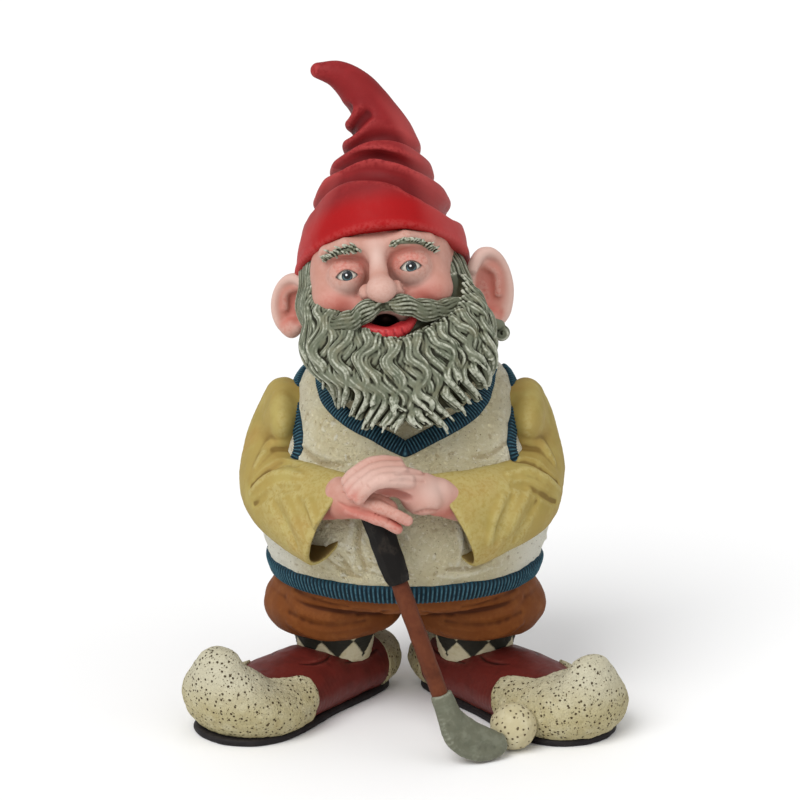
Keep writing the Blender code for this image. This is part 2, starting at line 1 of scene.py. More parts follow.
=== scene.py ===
"""The looks of a cast, hand-painted garden gnome who plays golf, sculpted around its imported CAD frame.

Every sculpted piece is made as a block of clay: a grid of distances, negative inside, in millimetres.
The figure's own frame has x to the viewer's right, the front towards -y and z up, with the body's axis
at x = y = 0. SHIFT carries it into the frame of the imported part.
"""

import functools
import math

import bpy
import numpy as np
import openvdb
from mathutils import Matrix, Vector


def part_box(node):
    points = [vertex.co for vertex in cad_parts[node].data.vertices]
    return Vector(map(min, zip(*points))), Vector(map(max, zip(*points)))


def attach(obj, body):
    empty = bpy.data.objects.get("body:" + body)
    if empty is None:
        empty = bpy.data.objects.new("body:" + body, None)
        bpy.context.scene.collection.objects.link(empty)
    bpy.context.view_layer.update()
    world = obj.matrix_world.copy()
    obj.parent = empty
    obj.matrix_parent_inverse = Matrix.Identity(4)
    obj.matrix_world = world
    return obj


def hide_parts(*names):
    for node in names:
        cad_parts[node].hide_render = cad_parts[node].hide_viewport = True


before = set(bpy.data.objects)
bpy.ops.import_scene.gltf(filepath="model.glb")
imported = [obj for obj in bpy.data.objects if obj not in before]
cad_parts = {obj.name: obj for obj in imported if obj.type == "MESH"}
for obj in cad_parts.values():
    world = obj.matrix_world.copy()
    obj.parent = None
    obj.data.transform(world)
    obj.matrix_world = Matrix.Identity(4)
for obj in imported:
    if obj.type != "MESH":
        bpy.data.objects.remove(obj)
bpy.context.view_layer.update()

MM = 0.001
ANKLE_Y = -2.0  # mm: where the ankle pins stand in the figure's frame


def middle_of(node):
    """The middle of a CAD node's box, in mm."""
    low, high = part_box(node)
    return (np.array(low) + np.array(high)) / 2 / MM


SHIFT = np.array((0.0, middle_of("ankle_pin_left")[1] - ANKLE_Y, 0.0))

# --- clay: sculpting with distances ---

FAR = 10.0  # mm: distances are known up to here


def soft_min(a, b, blend):
    """The nearer of two distances, with their crease filled over a blend in mm."""
    if blend <= 0:
        return np.minimum(a, b)
    part = np.clip(0.5 + 0.5 * (b - a) / blend, 0, 1)
    return b + (a - b) * part - blend * part * (1 - part)


def unit(vector):
    vector = np.asarray(vector, float)
    return vector / np.linalg.norm(vector)


def unit_rows(vectors):
    return vectors / np.linalg.norm(vectors, axis=-1, keepdims=True)


def read_at(at, far, rows):
    """Rows of numbers read off at some distances along them, where far is each row's own distance."""
    return np.stack([np.interp(at, far, rows[:, k]) for k in range(rows.shape[1])], -1)


def lengths_along(line):
    """How far along a line each of its points is."""
    return np.concatenate([[0], np.cumsum(np.linalg.norm(np.diff(line, axis=0), axis=1))])


def turned(degrees, axis):
    """A rotation about a world axis, as three rows that are the turned shape's own axes."""
    return np.array(Matrix.Rotation(math.radians(degrees), 3, axis)).T


def smooth(rows, steps=5):
    """Rows of numbers on a Catmull-Rom curve through the given rows, with this many steps a span."""
    rows = np.asarray(rows, float)
    points = np.vstack([2 * rows[0] - rows[1], rows, 2 * rows[-1] - rows[-2]])
    found = []
    for k in range(len(rows) - 1):
        a, b, c, d = points[k : k + 4]
        for t in np.arange(steps) / steps:
            bend, twist = 2 * a - 5 * b + 4 * c - d, 3 * b - a - 3 * c + d
            found.append(0.5 * (2 * b + (c - a) * t + bend * t**2 + twist * t**3))
    found.append(rows[-1])
    return np.array(found)


def egg(centre, radii, axes=None):
    """An ellipsoid as (lowest corner, highest corner, distance)."""
    centre, radii = np.asarray(centre, float), np.asarray(radii, float)
    axes = np.eye(3) if axes is None else axes
    reach = np.sqrt(((axes * radii[:, None]) ** 2).sum(axis=0))

    def distance(x, y, z):
        x, y, z = x - centre[0], y - centre[1], z - centre[2]
        local = [axis[0] * x + axis[1] * y + axis[2] * z for axis in axes]
        near = np.sqrt(sum((p / r) ** 2 for p, r in zip(local, radii)))
        slope = np.sqrt(sum((p / r**2) ** 2 for p, r in zip(local, radii))) + 1e-6
        return near * (near - 1) / slope

    return centre - reach, centre + reach, distance


def bone(start, end, start_radius, end_radius):
    """A round, tapered bone between two balls."""
    start, end = np.asarray(start, float), np.asarray(end, float)
    along = end - start
    long = max(along @ along, 1e-9)

    def distance(x, y, z):
        x, y, z = x - start[0], y - start[1], z - start[2]
        t = np.clip((x * along[0] + y * along[1] + z * along[2]) / long, 0, 1)
        away = (x - t * along[0]) ** 2 + (y - t * along[1]) ** 2 + (z - t * along[2]) ** 2
        return np.sqrt(away) - (start_radius + t * (end_radius - start_radius))

    reach = max(start_radius, end_radius)
    return np.minimum(start, end) - reach, np.maximum(start, end) + reach, distance


def slab(start, end, start_size, end_size, side):
    """A link with an oval section. A size is half its thickness across `side`, then along `side`."""
    start, end = np.asarray(start, float), np.asarray(end, float)
    along = end - start
    length = max(np.linalg.norm(along), 1e-6)
    along = along / length
    across = unit(np.cross(along, side))
    up = np.cross(across, along)

    def distance(x, y, z):
        x, y, z = x - start[0], y - start[1], z - start[2]
        far = x * along[0] + y * along[1] + z * along[2]
        t = np.clip(far / length, 0, 1)
        beyond = far - t * length
        wide = start_size[0] + t * (end_size[0] - start_size[0])
        high = start_size[1] + t * (end_size[1] - start_size[1])
        cap = np.minimum(wide, high)
        a = x * across[0] + y * across[1] + z * across[2]
        b = x * up[0] + y * up[1] + z * up[2]
        near = np.sqrt((a / wide) ** 2 + (b / high) ** 2 + (beyond / cap) ** 2)
        slope = np.sqrt((a / wide**2) ** 2 + (b / high**2) ** 2 + (beyond / cap**2) ** 2) + 1e-6
        return near * (near - 1) / slope

    reach = max(*start_size, *end_size)
    return np.minimum(start, end) - reach, np.maximum(start, end) + reach, distance


def strand(points, radii):
    """A round cord through some points, as a list of bones."""
    radii = np.broadcast_to(radii, len(points))
    return [bone(*pair) for pair in zip(points, points[1:], radii, radii[1:])]


def limb(stations, side=(0, 0, 1), steps=5):
    """An oval-sectioned limb. A station is x, y, z, half thickness, half height along `side`."""
    rows = smooth(stations, steps)
    return [slab(a[:3], b[:3], a[3:5], b[3:5], side) for a, b in zip(rows, rows[1:])]


def half_space(through, normal):
    """All that lies behind a plane, for cutting: its distance is positive on the normal's side."""
    through, normal = np.asarray(through, float), unit(normal)
    everywhere = np.full(3, 1e4)

    def distance(x, y, z):
        return (x - through[0]) * normal[0] + (y - through[1]) * normal[1] + (z - through[2]) * normal[2]

    return -everywhere, everywhere, distance


class Stack:
    """A form of level oval sections. A row is height, centre x, centre y, half width, half depth."""

    def __init__(self, rows, top_dome=0.0, bottom_dome=0.0):
        self.rows = smooth(rows, 6)
        self.domes = (bottom_dome, top_dome)

    def at(self, z):
        """Centre x, centre y, half width and half depth at a height."""
        return [np.interp(z, self.rows[:, 0], self.rows[:, k]) for k in range(1, 5)]

    def point(self, angle, z, out=0.0):
        """The point at an angle from the front, in degrees towards +x, this far out of the surface."""
        x, y, wide, deep = self.at(z)
        angle = np.radians(angle)
        across, ahead = (wide + out) * np.sin(angle), (deep + out) * np.cos(angle)
        return np.stack([x + across, y - ahead, z + 0 * angle], -1)

    def normal(self, angle, z):
        """The direction out of the surface, from points half a degree and half a mm to each side."""
        gap = 0.5
        a, b = self.point(angle - gap, z), self.point(angle + gap, z)
        c, d = self.point(angle, z - gap), self.point(angle, z + gap)
        return unit_rows(np.cross(b - a, d - c))

    def solid(self):
        """The form as (lowest corner, highest corner, distance)."""
        low_z, high_z = self.rows[0, 0] - self.domes[0], self.rows[-1, 0] + self.domes[1]
        x, y, wide, deep = self.rows[:, 1:].T
        low = np.array(((x - wide).min(), (y - deep).min(), low_z))
        high = np.array(((x + wide).max(), (y + deep).max(), high_z))
        first, last = self.rows[0, 0], self.rows[-1, 0]

        def distance(x, y, z):
            cx, cy, wide, deep = self.at(np.clip(z, first, last))
            below, above = np.clip(first - z, 0, None), np.clip(z - last, 0, None)
            past = below / max(self.domes[0], 0.5) + above / max(self.domes[1], 0.5)
            near = np.sqrt(((x - cx) / wide) ** 2 + ((y - cy) / deep) ** 2 + past**2)
            slope = np.sqrt(((x - cx) / wide**2) ** 2 + ((y - cy) / deep**2) ** 2) + 1e-3
            side = near * (near - 1) / slope
            lip = np.maximum(first - self.domes[0] - z, z - last - self.domes[1])
            return np.maximum(np.minimum(side, FAR), lip)

        return low, high, distance


class Clay:
    """A block of clay on a grid of distances."""

    def __init__(self, low, high, voxel):
        self.low, self.voxel = np.asarray(low, float), voxel
        count = np.ceil((np.asarray(high, float) - self.low) / voxel).astype(int) + 1
        self.field = np.full(count, FAR, np.float32)

    def window(self, low, high, margin):
        """The first and last grid places round a box, or None where the box misses the grid."""
        first = np.floor((np.asarray(low) - margin - self.low) / self.voxel).astype(int)
        last = np.ceil((np.asarray(high) + margin - self.low) / self.voxel).astype(int) + 1
        first, last = np.clip(first, 0, self.field.shape), np.clip(last, 0, self.field.shape)
        return None if (last <= first).any() else (first, last)

    def gather(self, parts, margin):
        """The distance to the nearest of some parts, over the part of the grid that they can reach."""
        whole = self.window(np.min([p[0] for p in parts], 0), np.max([p[1] for p in parts], 0), margin)
        if whole is None:
            return None, None
        near = np.full(whole[1] - whole[0], FAR, np.float32)
        for low, high, distance in parts:
            inner = self.window(low, high, margin)
            if inner is None:
                continue
            first, last = inner
            axes = [self.low[k] + self.voxel * np.arange(first[k], last[k]) for k in range(3)]
            where = tuple(slice(a, b) for a, b in zip(first - whole[0], last - whole[0]))
            found = distance(*np.meshgrid(*axes, indexing="ij", sparse=True))
            near[where] = np.minimum(near[where], found)
        return tuple(slice(a, b) for a, b in zip(*whole)), near

    def add(self, parts, blend=0.0, sign=1):
        """Adds parts to the clay, or with a sign of -1 takes them away."""
        where, near = self.gather(parts, 1.5 * blend + 1.5)
        if where is not None:
            self.field[where] = sign * soft_min(sign * self.field[where], near, blend)

    def carve(self, parts, blend=0.0):
        self.add(parts, blend, -1)

    def keep(self, part, blend=0.0):
        """Keeps only what lies inside this part."""
        axes = [self.low[k] + self.voxel * np.arange(self.field.shape[k]) for k in range(3)]
        outside = part[2](*np.meshgrid(*axes, indexing="ij", sparse=True))
        self.field = -soft_min(-self.field, -outside.astype(np.float32), blend)

    def sample(self, field, points):
        """The field's values at some points, from the eight grid points round each."""
        at = (points - self.low) / self.voxel
        at = np.clip(at, 0, np.array(self.field.shape) - 1.001)
        cell = at.astype(int)
        part = at - cell
        total = 0
        for corner in np.ndindex(2, 2, 2):
            weight = np.prod(np.where(corner, part, 1 - part), axis=1)
            total = total + weight * field[tuple((cell + corner).T)]
        return total

    def relief(self, points, reach):
        """How far each point stands proud of its surroundings: above 0 on ridges, below 0 in hollows."""
        steps = max(int(round(reach / self.voxel)), 1)
        field = np.clip(self.field, -reach, reach)
        for axis in range(3):
            total = field.copy()
            for shift in range(1, steps + 1):
                total += np.roll(field, -shift, axis)
                total += np.roll(field, shift, axis)
            field = total / (2 * steps + 1)
        return self.sample(field, points) / reach

    def skin(self):
        """The clay's surface, as points and four-sided faces."""
        grid = openvdb.FloatGrid(FAR)
        grid.copyFromArray(self.field)
        points, faces = grid.convertToQuads(0.0)
        return points.astype(float) * self.voxel + self.low, faces.astype(np.int64)


def noise(points, size, seed=0):
    """Smooth noise between -1 and 1 whose blobs are about this many mm: random values hashed on a grid."""
    at = points / size + 100.0
    cell = np.floor(at).astype(np.int64)
    part = at - cell
    part = part * part * (3 - 2 * part)
    total = 0
    for corner in np.ndindex(2, 2, 2):
        key = (cell + corner) @ np.array((73856093, 19349663, 83492791)) + seed * 1013904223
        key = (key ^ (key >> 13)) & 0x7FFFFFFF
        key = (key * 1274126177) & 0x7FFFFFFF
        key = key ^ (key >> 15)
        value = (key & 0xFFFF) / 32767.5 - 1
        total = total + np.prod(np.where(corner, part, 1 - part), axis=1) * value
    return total


# --- meshes ---


@functools.cache
def material_of(look):
    """The material of a look, painted once."""
    return LOOKS[look][0]()


def add_mesh(name, points, faces, look, attributes=None):
    """A smooth-shaded piece from points in mm of the figure's frame, for the CAD node of its name."""
    mesh = bpy.data.meshes.new(name)
    sides = faces.shape[1]
    mesh.vertices.add(len(points))
    mesh.vertices.foreach_set("co", ((points + SHIFT) * MM).astype(np.float32).ravel())
    mesh.loops.add(faces.size)
    mesh.loops.foreach_set("vertex_index", faces.astype(np.int32).ravel())
    mesh.polygons.add(len(faces))
    mesh.polygons.foreach_set("loop_start", np.arange(0, faces.size, sides, dtype=np.int32))
    mesh.polygons.foreach_set("use_smooth", np.ones(len(faces), bool))
    mesh.update(calc_edges=True)
    for key, values in (attributes or {}).items():
        layer = mesh.attributes.new(key, "FLOAT", "POINT")
        layer.data.foreach_set("value", np.asarray(values, np.float32))
    mesh.materials.append(material_of(look))
    piece = bpy.data.objects.new(name, mesh)
    bpy.context.scene.collection.objects.link(piece)
    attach(piece, "root")
    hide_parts(name)
    return piece


def normals_of(points, faces):
    """The surface's direction at each point of a skin of four-sided faces."""
    a, b, c, d = (points[faces[:, k]] for k in range(4))
    facing = np.cross(c - a, d - b)
    total = np.zeros_like(points)
    for k in range(4):
        np.add.at(total, faces[:, k], facing)
    return total / (np.linalg.norm(total, axis=1, keepdims=True) + 1e-12)


def surface_of(clay, fine, broad, masks=None):
    """The clay's skin, with its relief over a fine and a broad reach in mm and with some masks."""
    points, faces = clay.skin()
    attributes = {"fine": clay.relief(points, fine), "broad": clay.relief(points, broad)}
    for key, mask in (masks or {}).items():
        attributes[key] = mask(points)
    return points, faces, attributes


def cast(name, clay, look, rough=(), masks=None):
    """Turns clay into a piece. rough lists (height, size) of surface noise in mm."""
    points, faces, attributes = surface_of(clay, 2.5 * clay.voxel, 7 * clay.voxel, masks)
    if rough:
        lift = sum(height * noise(points, size, k) for k, (height, size) in enumerate(rough))
        points = points + normals_of(points, faces) * lift[:, None]
        attributes["fine"] = attributes["fine"] + 0.04 * lift
    add_mesh(name, points, faces, look, attributes)


def loft(name, rings, look, attributes=None, closed=False):
    """A skin through rings of points, shape (rings, sides, 3). Open rings end in a fan to their middle."""
    rings = np.asarray(rings, float)
    count, sides = rings.shape[:2]
    points = rings.reshape(-1, 3)
    k, i = np.meshgrid(np.arange(count if closed else count - 1), np.arange(sides), indexing="ij")
    j, n = (i + 1) % sides, (k + 1) % count
    faces = np.stack([k * sides + i, k * sides + j, n * sides + j, n * sides + i], -1).reshape(-1, 4)
    if not closed:
        i = np.arange(sides)
        j = (i + 1) % sides
        middles = len(points) + np.arange(2)
        points = np.vstack([points, rings[0].mean(0), rings[-1].mean(0)])
        low = np.stack([j, i, np.full(sides, middles[0])], -1)
        top = (count - 1) * sides
        high = np.stack([top + i, top + j, np.full(sides, middles[1])], -1)
        attributes = {key: np.append(v, (v[0], v[-1])) for key, v in (attributes or {}).items()}
    piece = add_mesh(name, points, faces, look, attributes)
    if not closed:
        add_fans(piece.data, low, high)


def add_fans(mesh, *fans):
    """Adds triangles to a mesh of four-sided faces."""
    extra = np.vstack(fans)
    old_loops, old_faces = len(mesh.loops), len(mesh.polygons)
    mesh.loops.add(extra.size)
    mesh.polygons.add(len(extra))
    start = np.arange(old_loops, old_loops + extra.size, 3, dtype=np.int32)
    all_start = np.append(np.arange(0, old_loops, 4, dtype=np.int32), start)
    mesh.polygons.foreach_set("loop_start", all_start)
    corners = np.empty(len(mesh.loops), np.int32)
    mesh.loops.foreach_get("vertex_index", corners)
    corners[old_loops:] = extra.ravel()
    mesh.loops.foreach_set("vertex_index", corners)
    mesh.polygons.foreach_set("use_smooth", np.ones(old_faces + len(extra), bool))
    mesh.update(calc_edges=True)


# --- paint ---


def srgb(red, green, blue):
    """A linear colour from the 0 to 255 values that a screen shows."""
    values = []
    for part in (red / 255, green / 255, blue / 255):
        values.append(part / 12.92 if part <= 0.04045 else ((part + 0.055) / 1.055) ** 2.4)
    return (*values, 1.0)


class Paint:
    """Builds one material's nodes: each step changes the colour that goes to the shader."""

    def __init__(self, name, base, roughness=0.62, specular=0.35):
        self.material = bpy.data.materials.new(name)
        self.material.use_nodes = True
        self.nodes, self.links = self.material.node_tree.nodes, self.material.node_tree.links
        self.shader = self.nodes["Principled BSDF"]
        self.shader.inputs["Base Color"].default_value = base
        self.shader.inputs["Roughness"].default_value = roughness
        self.shader.inputs["Specular IOR Level"].default_value = specular
        self.place = self.nodes.new("ShaderNodeTexCoord").outputs["Object"]
        self.colour = None
        self.base = base
        self.height = None

    def noise(self, size, detail=3.0, rough=0.6):
        """Noise from 0 to 1 with blobs of about this many mm."""
        made = self.nodes.new("ShaderNodeTexNoise")
        made.inputs["Scale"].default_value = 1 / (size * MM)
        made.inputs["Detail"].default_value = detail
        made.inputs["Roughness"].default_value = rough
        self.links.new(self.place, made.inputs["Vector"])
        return made.outputs["Fac"]

    def attribute(self, name):
        """A mask that the mesh carries."""
        made = self.nodes.new("ShaderNodeAttribute")
        made.attribute_name = name
        return made.outputs["Fac"]

    def ramp(self, value, low, high):
        """0 where the value is at low, 1 where it is at high, smooth between."""
        made = self.nodes.new("ShaderNodeMapRange")
        made.interpolation_type = "SMOOTHSTEP"
        made.inputs["From Min"].default_value = low
        made.inputs["From Max"].default_value = high
        self.links.new(value, made.inputs["Value"])
        return made.outputs["Result"]

    def math(self, kind, a, b=0.0):
        """One sum on two values, each a number or another node's output."""
        made = self.nodes.new("ShaderNodeMath")
        made.operation = kind
        for value, socket in zip((a, b), made.inputs):
            if isinstance(value, (int, float)):
                socket.default_value = value
            else:
                self.links.new(value, socket)
        return made.outputs[0]

    def blend(self, colour, amount, kind="MIX"):
        """Mixes a colour over what is there, by an amount from 0 to 1."""
        made = self.nodes.new("ShaderNodeMix")
        made.data_type = "RGBA"
        made.blend_type = kind
        made.clamp_factor = True
        if self.colour is None:
            made.inputs["A"].default_value = self.base
        else:
            self.links.new(self.colour, made.inputs["A"])
        made.inputs["B"].default_value = colour
        if isinstance(amount, (int, float)):
            made.inputs["Factor"].default_value = amount
        else:
            self.links.new(amount, made.inputs["Factor"])
        self.colour = made.outputs["Result"]
        return self

    def mottle(self, colour, size, amount=0.5, low=0.45, high=0.7):
        """Patches of another colour."""
        return self.blend(colour, self.math("MULTIPLY", self.ramp(self.noise(size), low, high), amount))

    def flecks(self, colour, size, low, high):
        """Small ragged specks of another colour."""
        specks = self.ramp(self.noise(size, 5.0, 0.7), low, high)
        return self.blend(colour, self.math("MULTIPLY", specks, 0.7))

    def wash_and_shade(self, colour, amount=0.9, start=-0.02, full=-0.16, key="fine"):
        """Dark thin paint run into the hollows, and painted shade there."""
        return self.blend(colour, self.math("MULTIPLY", self.ramp(self.attribute(key), start, full), amount))

    def dry_brush_and_highlight(self, colour, amount=0.6, start=0.02, full=0.14, key="fine"):
        """Pale paint dragged over the ridges, and a painted highlight on them."""
        streaky = self.ramp(self.noise(1.5), 0.3, 0.6)
        lift = self.math("MULTIPLY", self.ramp(self.attribute(key), start, full), streaky)
        return self.blend(colour, self.math("MULTIPLY", lift, amount))

    def mask(self, key, colour, amount=1.0):
        """Another colour where a mask that the mesh carries says so."""
        return self.blend(colour, self.math("MULTIPLY", self.attribute(key), amount))

    def bump(self, height, distance):
        """Adds a height from 0 to 1 to the surface, of this many mm."""
        scaled = self.math("MULTIPLY", height, distance)
        self.height = scaled if self.height is None else self.math("ADD", self.height, scaled)
        return self

    def pits(self, size, radius, colour, amount=0.85, depth=0.35, share=0.5):
        """Small pits, darker inside, in only a share of the cells."""
        made = self.nodes.new("ShaderNodeTexVoronoi")
        made.inputs["Scale"].default_value = 1 / (size * MM)
        self.links.new(self.place, made.inputs["Vector"])
        near = self.math("ADD", made.outputs["Distance"], self.math("MULTIPLY", self.noise(0.9), 0.3))
        hole = self.ramp(near, radius + 0.23, radius + 0.11)
        chosen = self.ramp(self.noise(size * 2.2), share + 0.04, share - 0.04)
        hole = self.math("MULTIPLY", hole, chosen)
        self.blend(colour, self.math("MULTIPLY", hole, amount))
        return self.bump(self.math("SUBTRACT", 1.0, hole), depth)

    def done(self, grain=0.06, grain_size=0.7, gloss_change=0.12):
        """Links the colour, brush grain as bump, and a roughness that changes over the surface."""
        if self.colour is not None:
            self.links.new(self.colour, self.shader.inputs["Base Color"])
        self.bump(self.noise(grain_size, 4.0), grain)
        lump = self.nodes.new("ShaderNodeBump")
        lump.inputs["Strength"].default_value = 1.0
        lump.inputs["Distance"].default_value = MM
        self.links.new(self.height, lump.inputs["Height"])
        self.links.new(lump.outputs["Normal"], self.shader.inputs["Normal"])
        rough = self.shader.inputs["Roughness"]
        middle = rough.default_value
        changed = self.nodes.new("ShaderNodeMapRange")
        changed.inputs["To Min"].default_value = middle - gloss_change
        changed.inputs["To Max"].default_value = min(middle + gloss_change, 1.0)
        self.links.new(self.noise(4.0), changed.inputs["Value"])
        self.links.new(changed.outputs["Result"], rough)
        return self.material


# In the paints below, the dark washes in the hollows are thin paint and painted shade, and the pale
# dry-brushing on the ridges is paint and a painted highlight.
def hat_paint():
    made = Paint("hat paint", srgb(128, 28, 30), 0.6, 0.16)
    made.mottle(srgb(116, 20, 24), 16, 0.6)
    made.mottle(srgb(150, 40, 42), 8, 0.35)
    made.mask("bright", srgb(158, 8, 12), 0.92)
    made.wash_and_shade(srgb(78, 10, 14), 0.75, 0.0, -0.14)
    made.wash_and_shade(srgb(88, 12, 16), 0.6, 0.02, -0.22, "broad")
    made.dry_brush_and_highlight(srgb(178, 66, 64), 0.5, 0.02, 0.14)
    # pale pink down the sides: a painted rim highlight
    made.mask("painted_highlight", srgb(184, 82, 80), 0.55)
    return made.done(0.05, 0.9)


def skin_paint():
    made = Paint("skin paint", srgb(184, 135, 120), 0.5, 0.22)
    made.mottle(srgb(193, 149, 136), 9, 0.6)
    made.mottle(srgb(172, 114, 97), 6, 0.3)
    made.wash_and_shade(srgb(150, 84, 68), 0.45, 0.0, -0.16)
    made.wash_and_shade(srgb(168, 98, 84), 0.4, 0.0, -0.24, "broad")
    made.mask("blush", srgb(188, 98, 86), 0.8)
    made.mask("pale", srgb(206, 177, 166), 0.8)
    made.dry_brush_and_highlight(srgb(206, 174, 162), 0.35, 0.04, 0.2, "broad")
    made.mask("line", srgb(38, 24, 20), 0.95)
    # near black inside the open mouth: painted shade
    made.mask("painted_shade", srgb(26, 12, 10), 1.0)
    return made.done(0.03, 0.8)


def hair_paint():
    made = Paint("hair paint", srgb(108, 112, 94), 0.66, 0.16)
    made.mottle(srgb(82, 90, 72), 9, 0.65)
    made.mottle(srgb(126, 120, 94), 6, 0.4)
    made.wash_and_shade(srgb(30, 30, 18), 0.98, 0.08, -0.05)
    made.wash_and_shade(srgb(52, 50, 32), 0.8, 0.0, -0.2, "broad")
    made.dry_brush_and_highlight(srgb(188, 190, 174), 0.85, 0.09, 0.2)
    made.mask("shade", srgb(62, 62, 42), 0.28)
    return made.done(0.05, 0.5)


def lip_paint():
    made = Paint("lip paint", srgb(172, 42, 46), 0.42, 0.25)
    made.mottle(srgb(166, 30, 38), 5, 0.4)
    made.wash_and_shade(srgb(110, 16, 22), 0.6)
    made.dry_brush_and_highlight(srgb(206, 84, 80), 0.3, 0.02, 0.1)
    return made.done(0.03, 0.6)


def vest_paint():
    made = Paint("vest paint", srgb(216, 206, 170), 0.72, 0.15)
    made.mottle(srgb(228, 222, 194), 12, 0.8)
    made.mottle(srgb(200, 184, 140), 6, 0.5)
    # near white at the sides and the back: a painted highlight
    made.mask("painted_highlight", srgb(242, 240, 226), 0.95)
    made.wash_and_shade(srgb(160, 136, 92), 0.45, -0.01, -0.12)
    made.flecks(srgb(152, 128, 84), 1.5, 0.6, 0.68)
    made.flecks(srgb(242, 236, 216), 2.2, 0.56, 0.66)
    made.dry_brush_and_highlight(srgb(242, 238, 220), 0.6, 0.02, 0.12)
    made.pits(2.2, 0.1, srgb(116, 92, 56), 0.8, 0.35, 0.5)
    made.bump(made.ramp(made.noise(1.8, 5.0, 0.7), 0.3, 0.7), 0.9)
    return made.done(0.15, 0.6)


def teal_paint():
    made = Paint("knit band paint", srgb(28, 62, 78), 0.62, 0.16)
    made.mottle(srgb(20, 46, 58), 7, 0.7)
    made.mottle(srgb(36, 80, 92), 4, 0.4)
    made.wash_and_shade(srgb(10, 24, 32), 0.85, -0.01, -0.2, "rib")
    made.dry_brush_and_highlight(srgb(92, 134, 146), 0.55, 0.3, 0.9, "rib")
    return made.done(0.06, 0.5)


def sleeve_paint():
    made = Paint("sleeve paint", srgb(158, 138, 76), 0.68, 0.14)
    made.mottle(srgb(168, 154, 92), 14, 0.7)
    made.mottle(srgb(166, 122, 66), 18, 0.5, 0.5, 0.75)
    made.mottle(srgb(142, 128, 64), 9, 0.4)
    made.wash_and_shade(srgb(104, 80, 36), 0.75, 0.0, -0.12)
    made.wash_and_shade(srgb(118, 94, 44), 0.65, 0.0, -0.2, "broad")
    made.dry_brush_and_highlight(srgb(188, 178, 126), 0.4, 0.04, 0.16)
    # painted shade on the inside of the sleeve's mouth
    made.mask("painted_shade", srgb(92, 70, 32), 0.85)
    return made.done(0.05, 0.7)


def trouser_paint():
    made = Paint("trouser paint", srgb(112, 62, 27), 0.66, 0.12)
    made.mottle(srgb(106, 56, 22), 11, 0.6)
    made.mottle(srgb(130, 78, 38), 6, 0.4)
    made.wash_and_shade(srgb(58, 26, 10), 0.75, 0.0, -0.14)
    made.wash_and_shade(srgb(70, 32, 14), 0.6, 0.0, -0.2, "broad")
    made.dry_brush_and_highlight(srgb(140, 84, 44), 0.4, 0.02, 0.12)
    return made.done(0.07, 0.7)


def sock_paint():
    made = Paint("sock paint", srgb(202, 194, 164), 0.66, 0.16)
    made.mottle(srgb(182, 170, 130), 4, 0.6)
    made.mask("diamond", srgb(20, 22, 20), 0.97)
    return made.done(0.08, 0.5)


def leather_paint():
    made = Paint("shoe paint", srgb(96, 34, 28), 0.48, 0.25)
    made.mottle(srgb(78, 26, 20), 8, 0.6)
    made.wash_and_shade(srgb(42, 12, 8), 0.8, -0.01, -0.12)
    made.dry_brush_and_highlight(srgb(134, 74, 64), 0.5, 0.02, 0.12)
    return made.done(0.05, 0.8)


def cap_paint():
    made = Paint("shoe cap paint", srgb(178, 168, 130), 0.7, 0.14)
    made.mottle(srgb(194, 186, 154), 9, 0.7)
    made.mottle(srgb(162, 148, 106), 5, 0.5)
    # paler towards the top of each cap: a painted highlight
    made.mask("painted_highlight", srgb(198, 194, 174), 0.7)
    made.wash_and_shade(srgb(124, 102, 62), 0.6)
    made.pits(2.3, 0.2, srgb(66, 50, 26), 0.95, 0.7, 0.72)
    made.pits(1.5, 0.15, srgb(96, 76, 42), 0.9, 0.4, 0.6)
    made.bump(made.ramp(made.noise(1.4, 4.0, 0.65), 0.3, 0.7), 0.35)
    return made.done(0.12, 0.6)


def sole_paint():
    made = Paint("sole paint", srgb(28, 24, 26), 0.6, 0.2)
    made.mottle(srgb(42, 38, 38), 6, 0.5)
    made.dry_brush_and_highlight(srgb(88, 82, 76), 0.35, 0.04, 0.16)
    return made.done(0.08, 0.7)


def grip_paint():
    made = Paint("grip paint", srgb(15, 12, 10), 0.5, 0.16)
    made.mottle(srgb(24, 20, 17), 5, 0.5)
    made.dry_brush_and_highlight(srgb(62, 54, 46), 0.3, 0.06, 0.16)
    return made.done(0.06, 0.8)


def shaft_paint():
    made = Paint("shaft paint", srgb(92, 46, 26), 0.55, 0.16)
    made.mottle(srgb(74, 34, 18), 7, 0.7)
    made.mottle(srgb(110, 62, 38), 4, 0.35)
    return made.done(0.08, 1.0)


def club_paint():
    made = Paint("club head paint", srgb(96, 97, 81), 0.5, 0.25)
    made.mottle(srgb(88, 92, 76), 6, 0.6)
    made.mottle(srgb(124, 126, 110), 4, 0.4)
    made.wash_and_shade(srgb(60, 62, 50), 0.6)
    made.dry_brush_and_highlight(srgb(152, 154, 138), 0.5, 0.03, 0.12)
    return made.done(0.06, 0.8)


def ball_paint():
    made = Paint("ball paint", srgb(180, 170, 136), 0.6, 0.16)
    made.mottle(srgb(196, 188, 158), 5, 0.6)
    made.wash_and_shade(srgb(124, 104, 66), 0.6)
    made.pits(2.2, 0.2, srgb(76, 58, 32), 0.9, 0.5, 0.68)
    return made.done(0.1, 0.6)


def eye_paint():
    made = Paint("eye paint", srgb(206, 202, 190), 0.22, 0.5)
    made.mottle(srgb(190, 168, 158), 2, 0.4)
    made.mask("iris_edge", srgb(12, 18, 26), 1.0)
    made.mask("iris", srgb(70, 98, 104), 1.0)
    made.mask("pupil", srgb(6, 6, 8), 1.0)
    made.mask("glint", srgb(250, 250, 250), 1.0)
    return made.done(0.01, 0.8, 0.04)


def steel_paint():
    made = Paint("pin steel", srgb(150, 150, 152), 0.32, 0.5)
    made.shader.inputs["Metallic"].default_value = 1.0
    made.mottle(srgb(120, 120, 124), 2, 0.5)
    return made.done(0.02, 0.4)


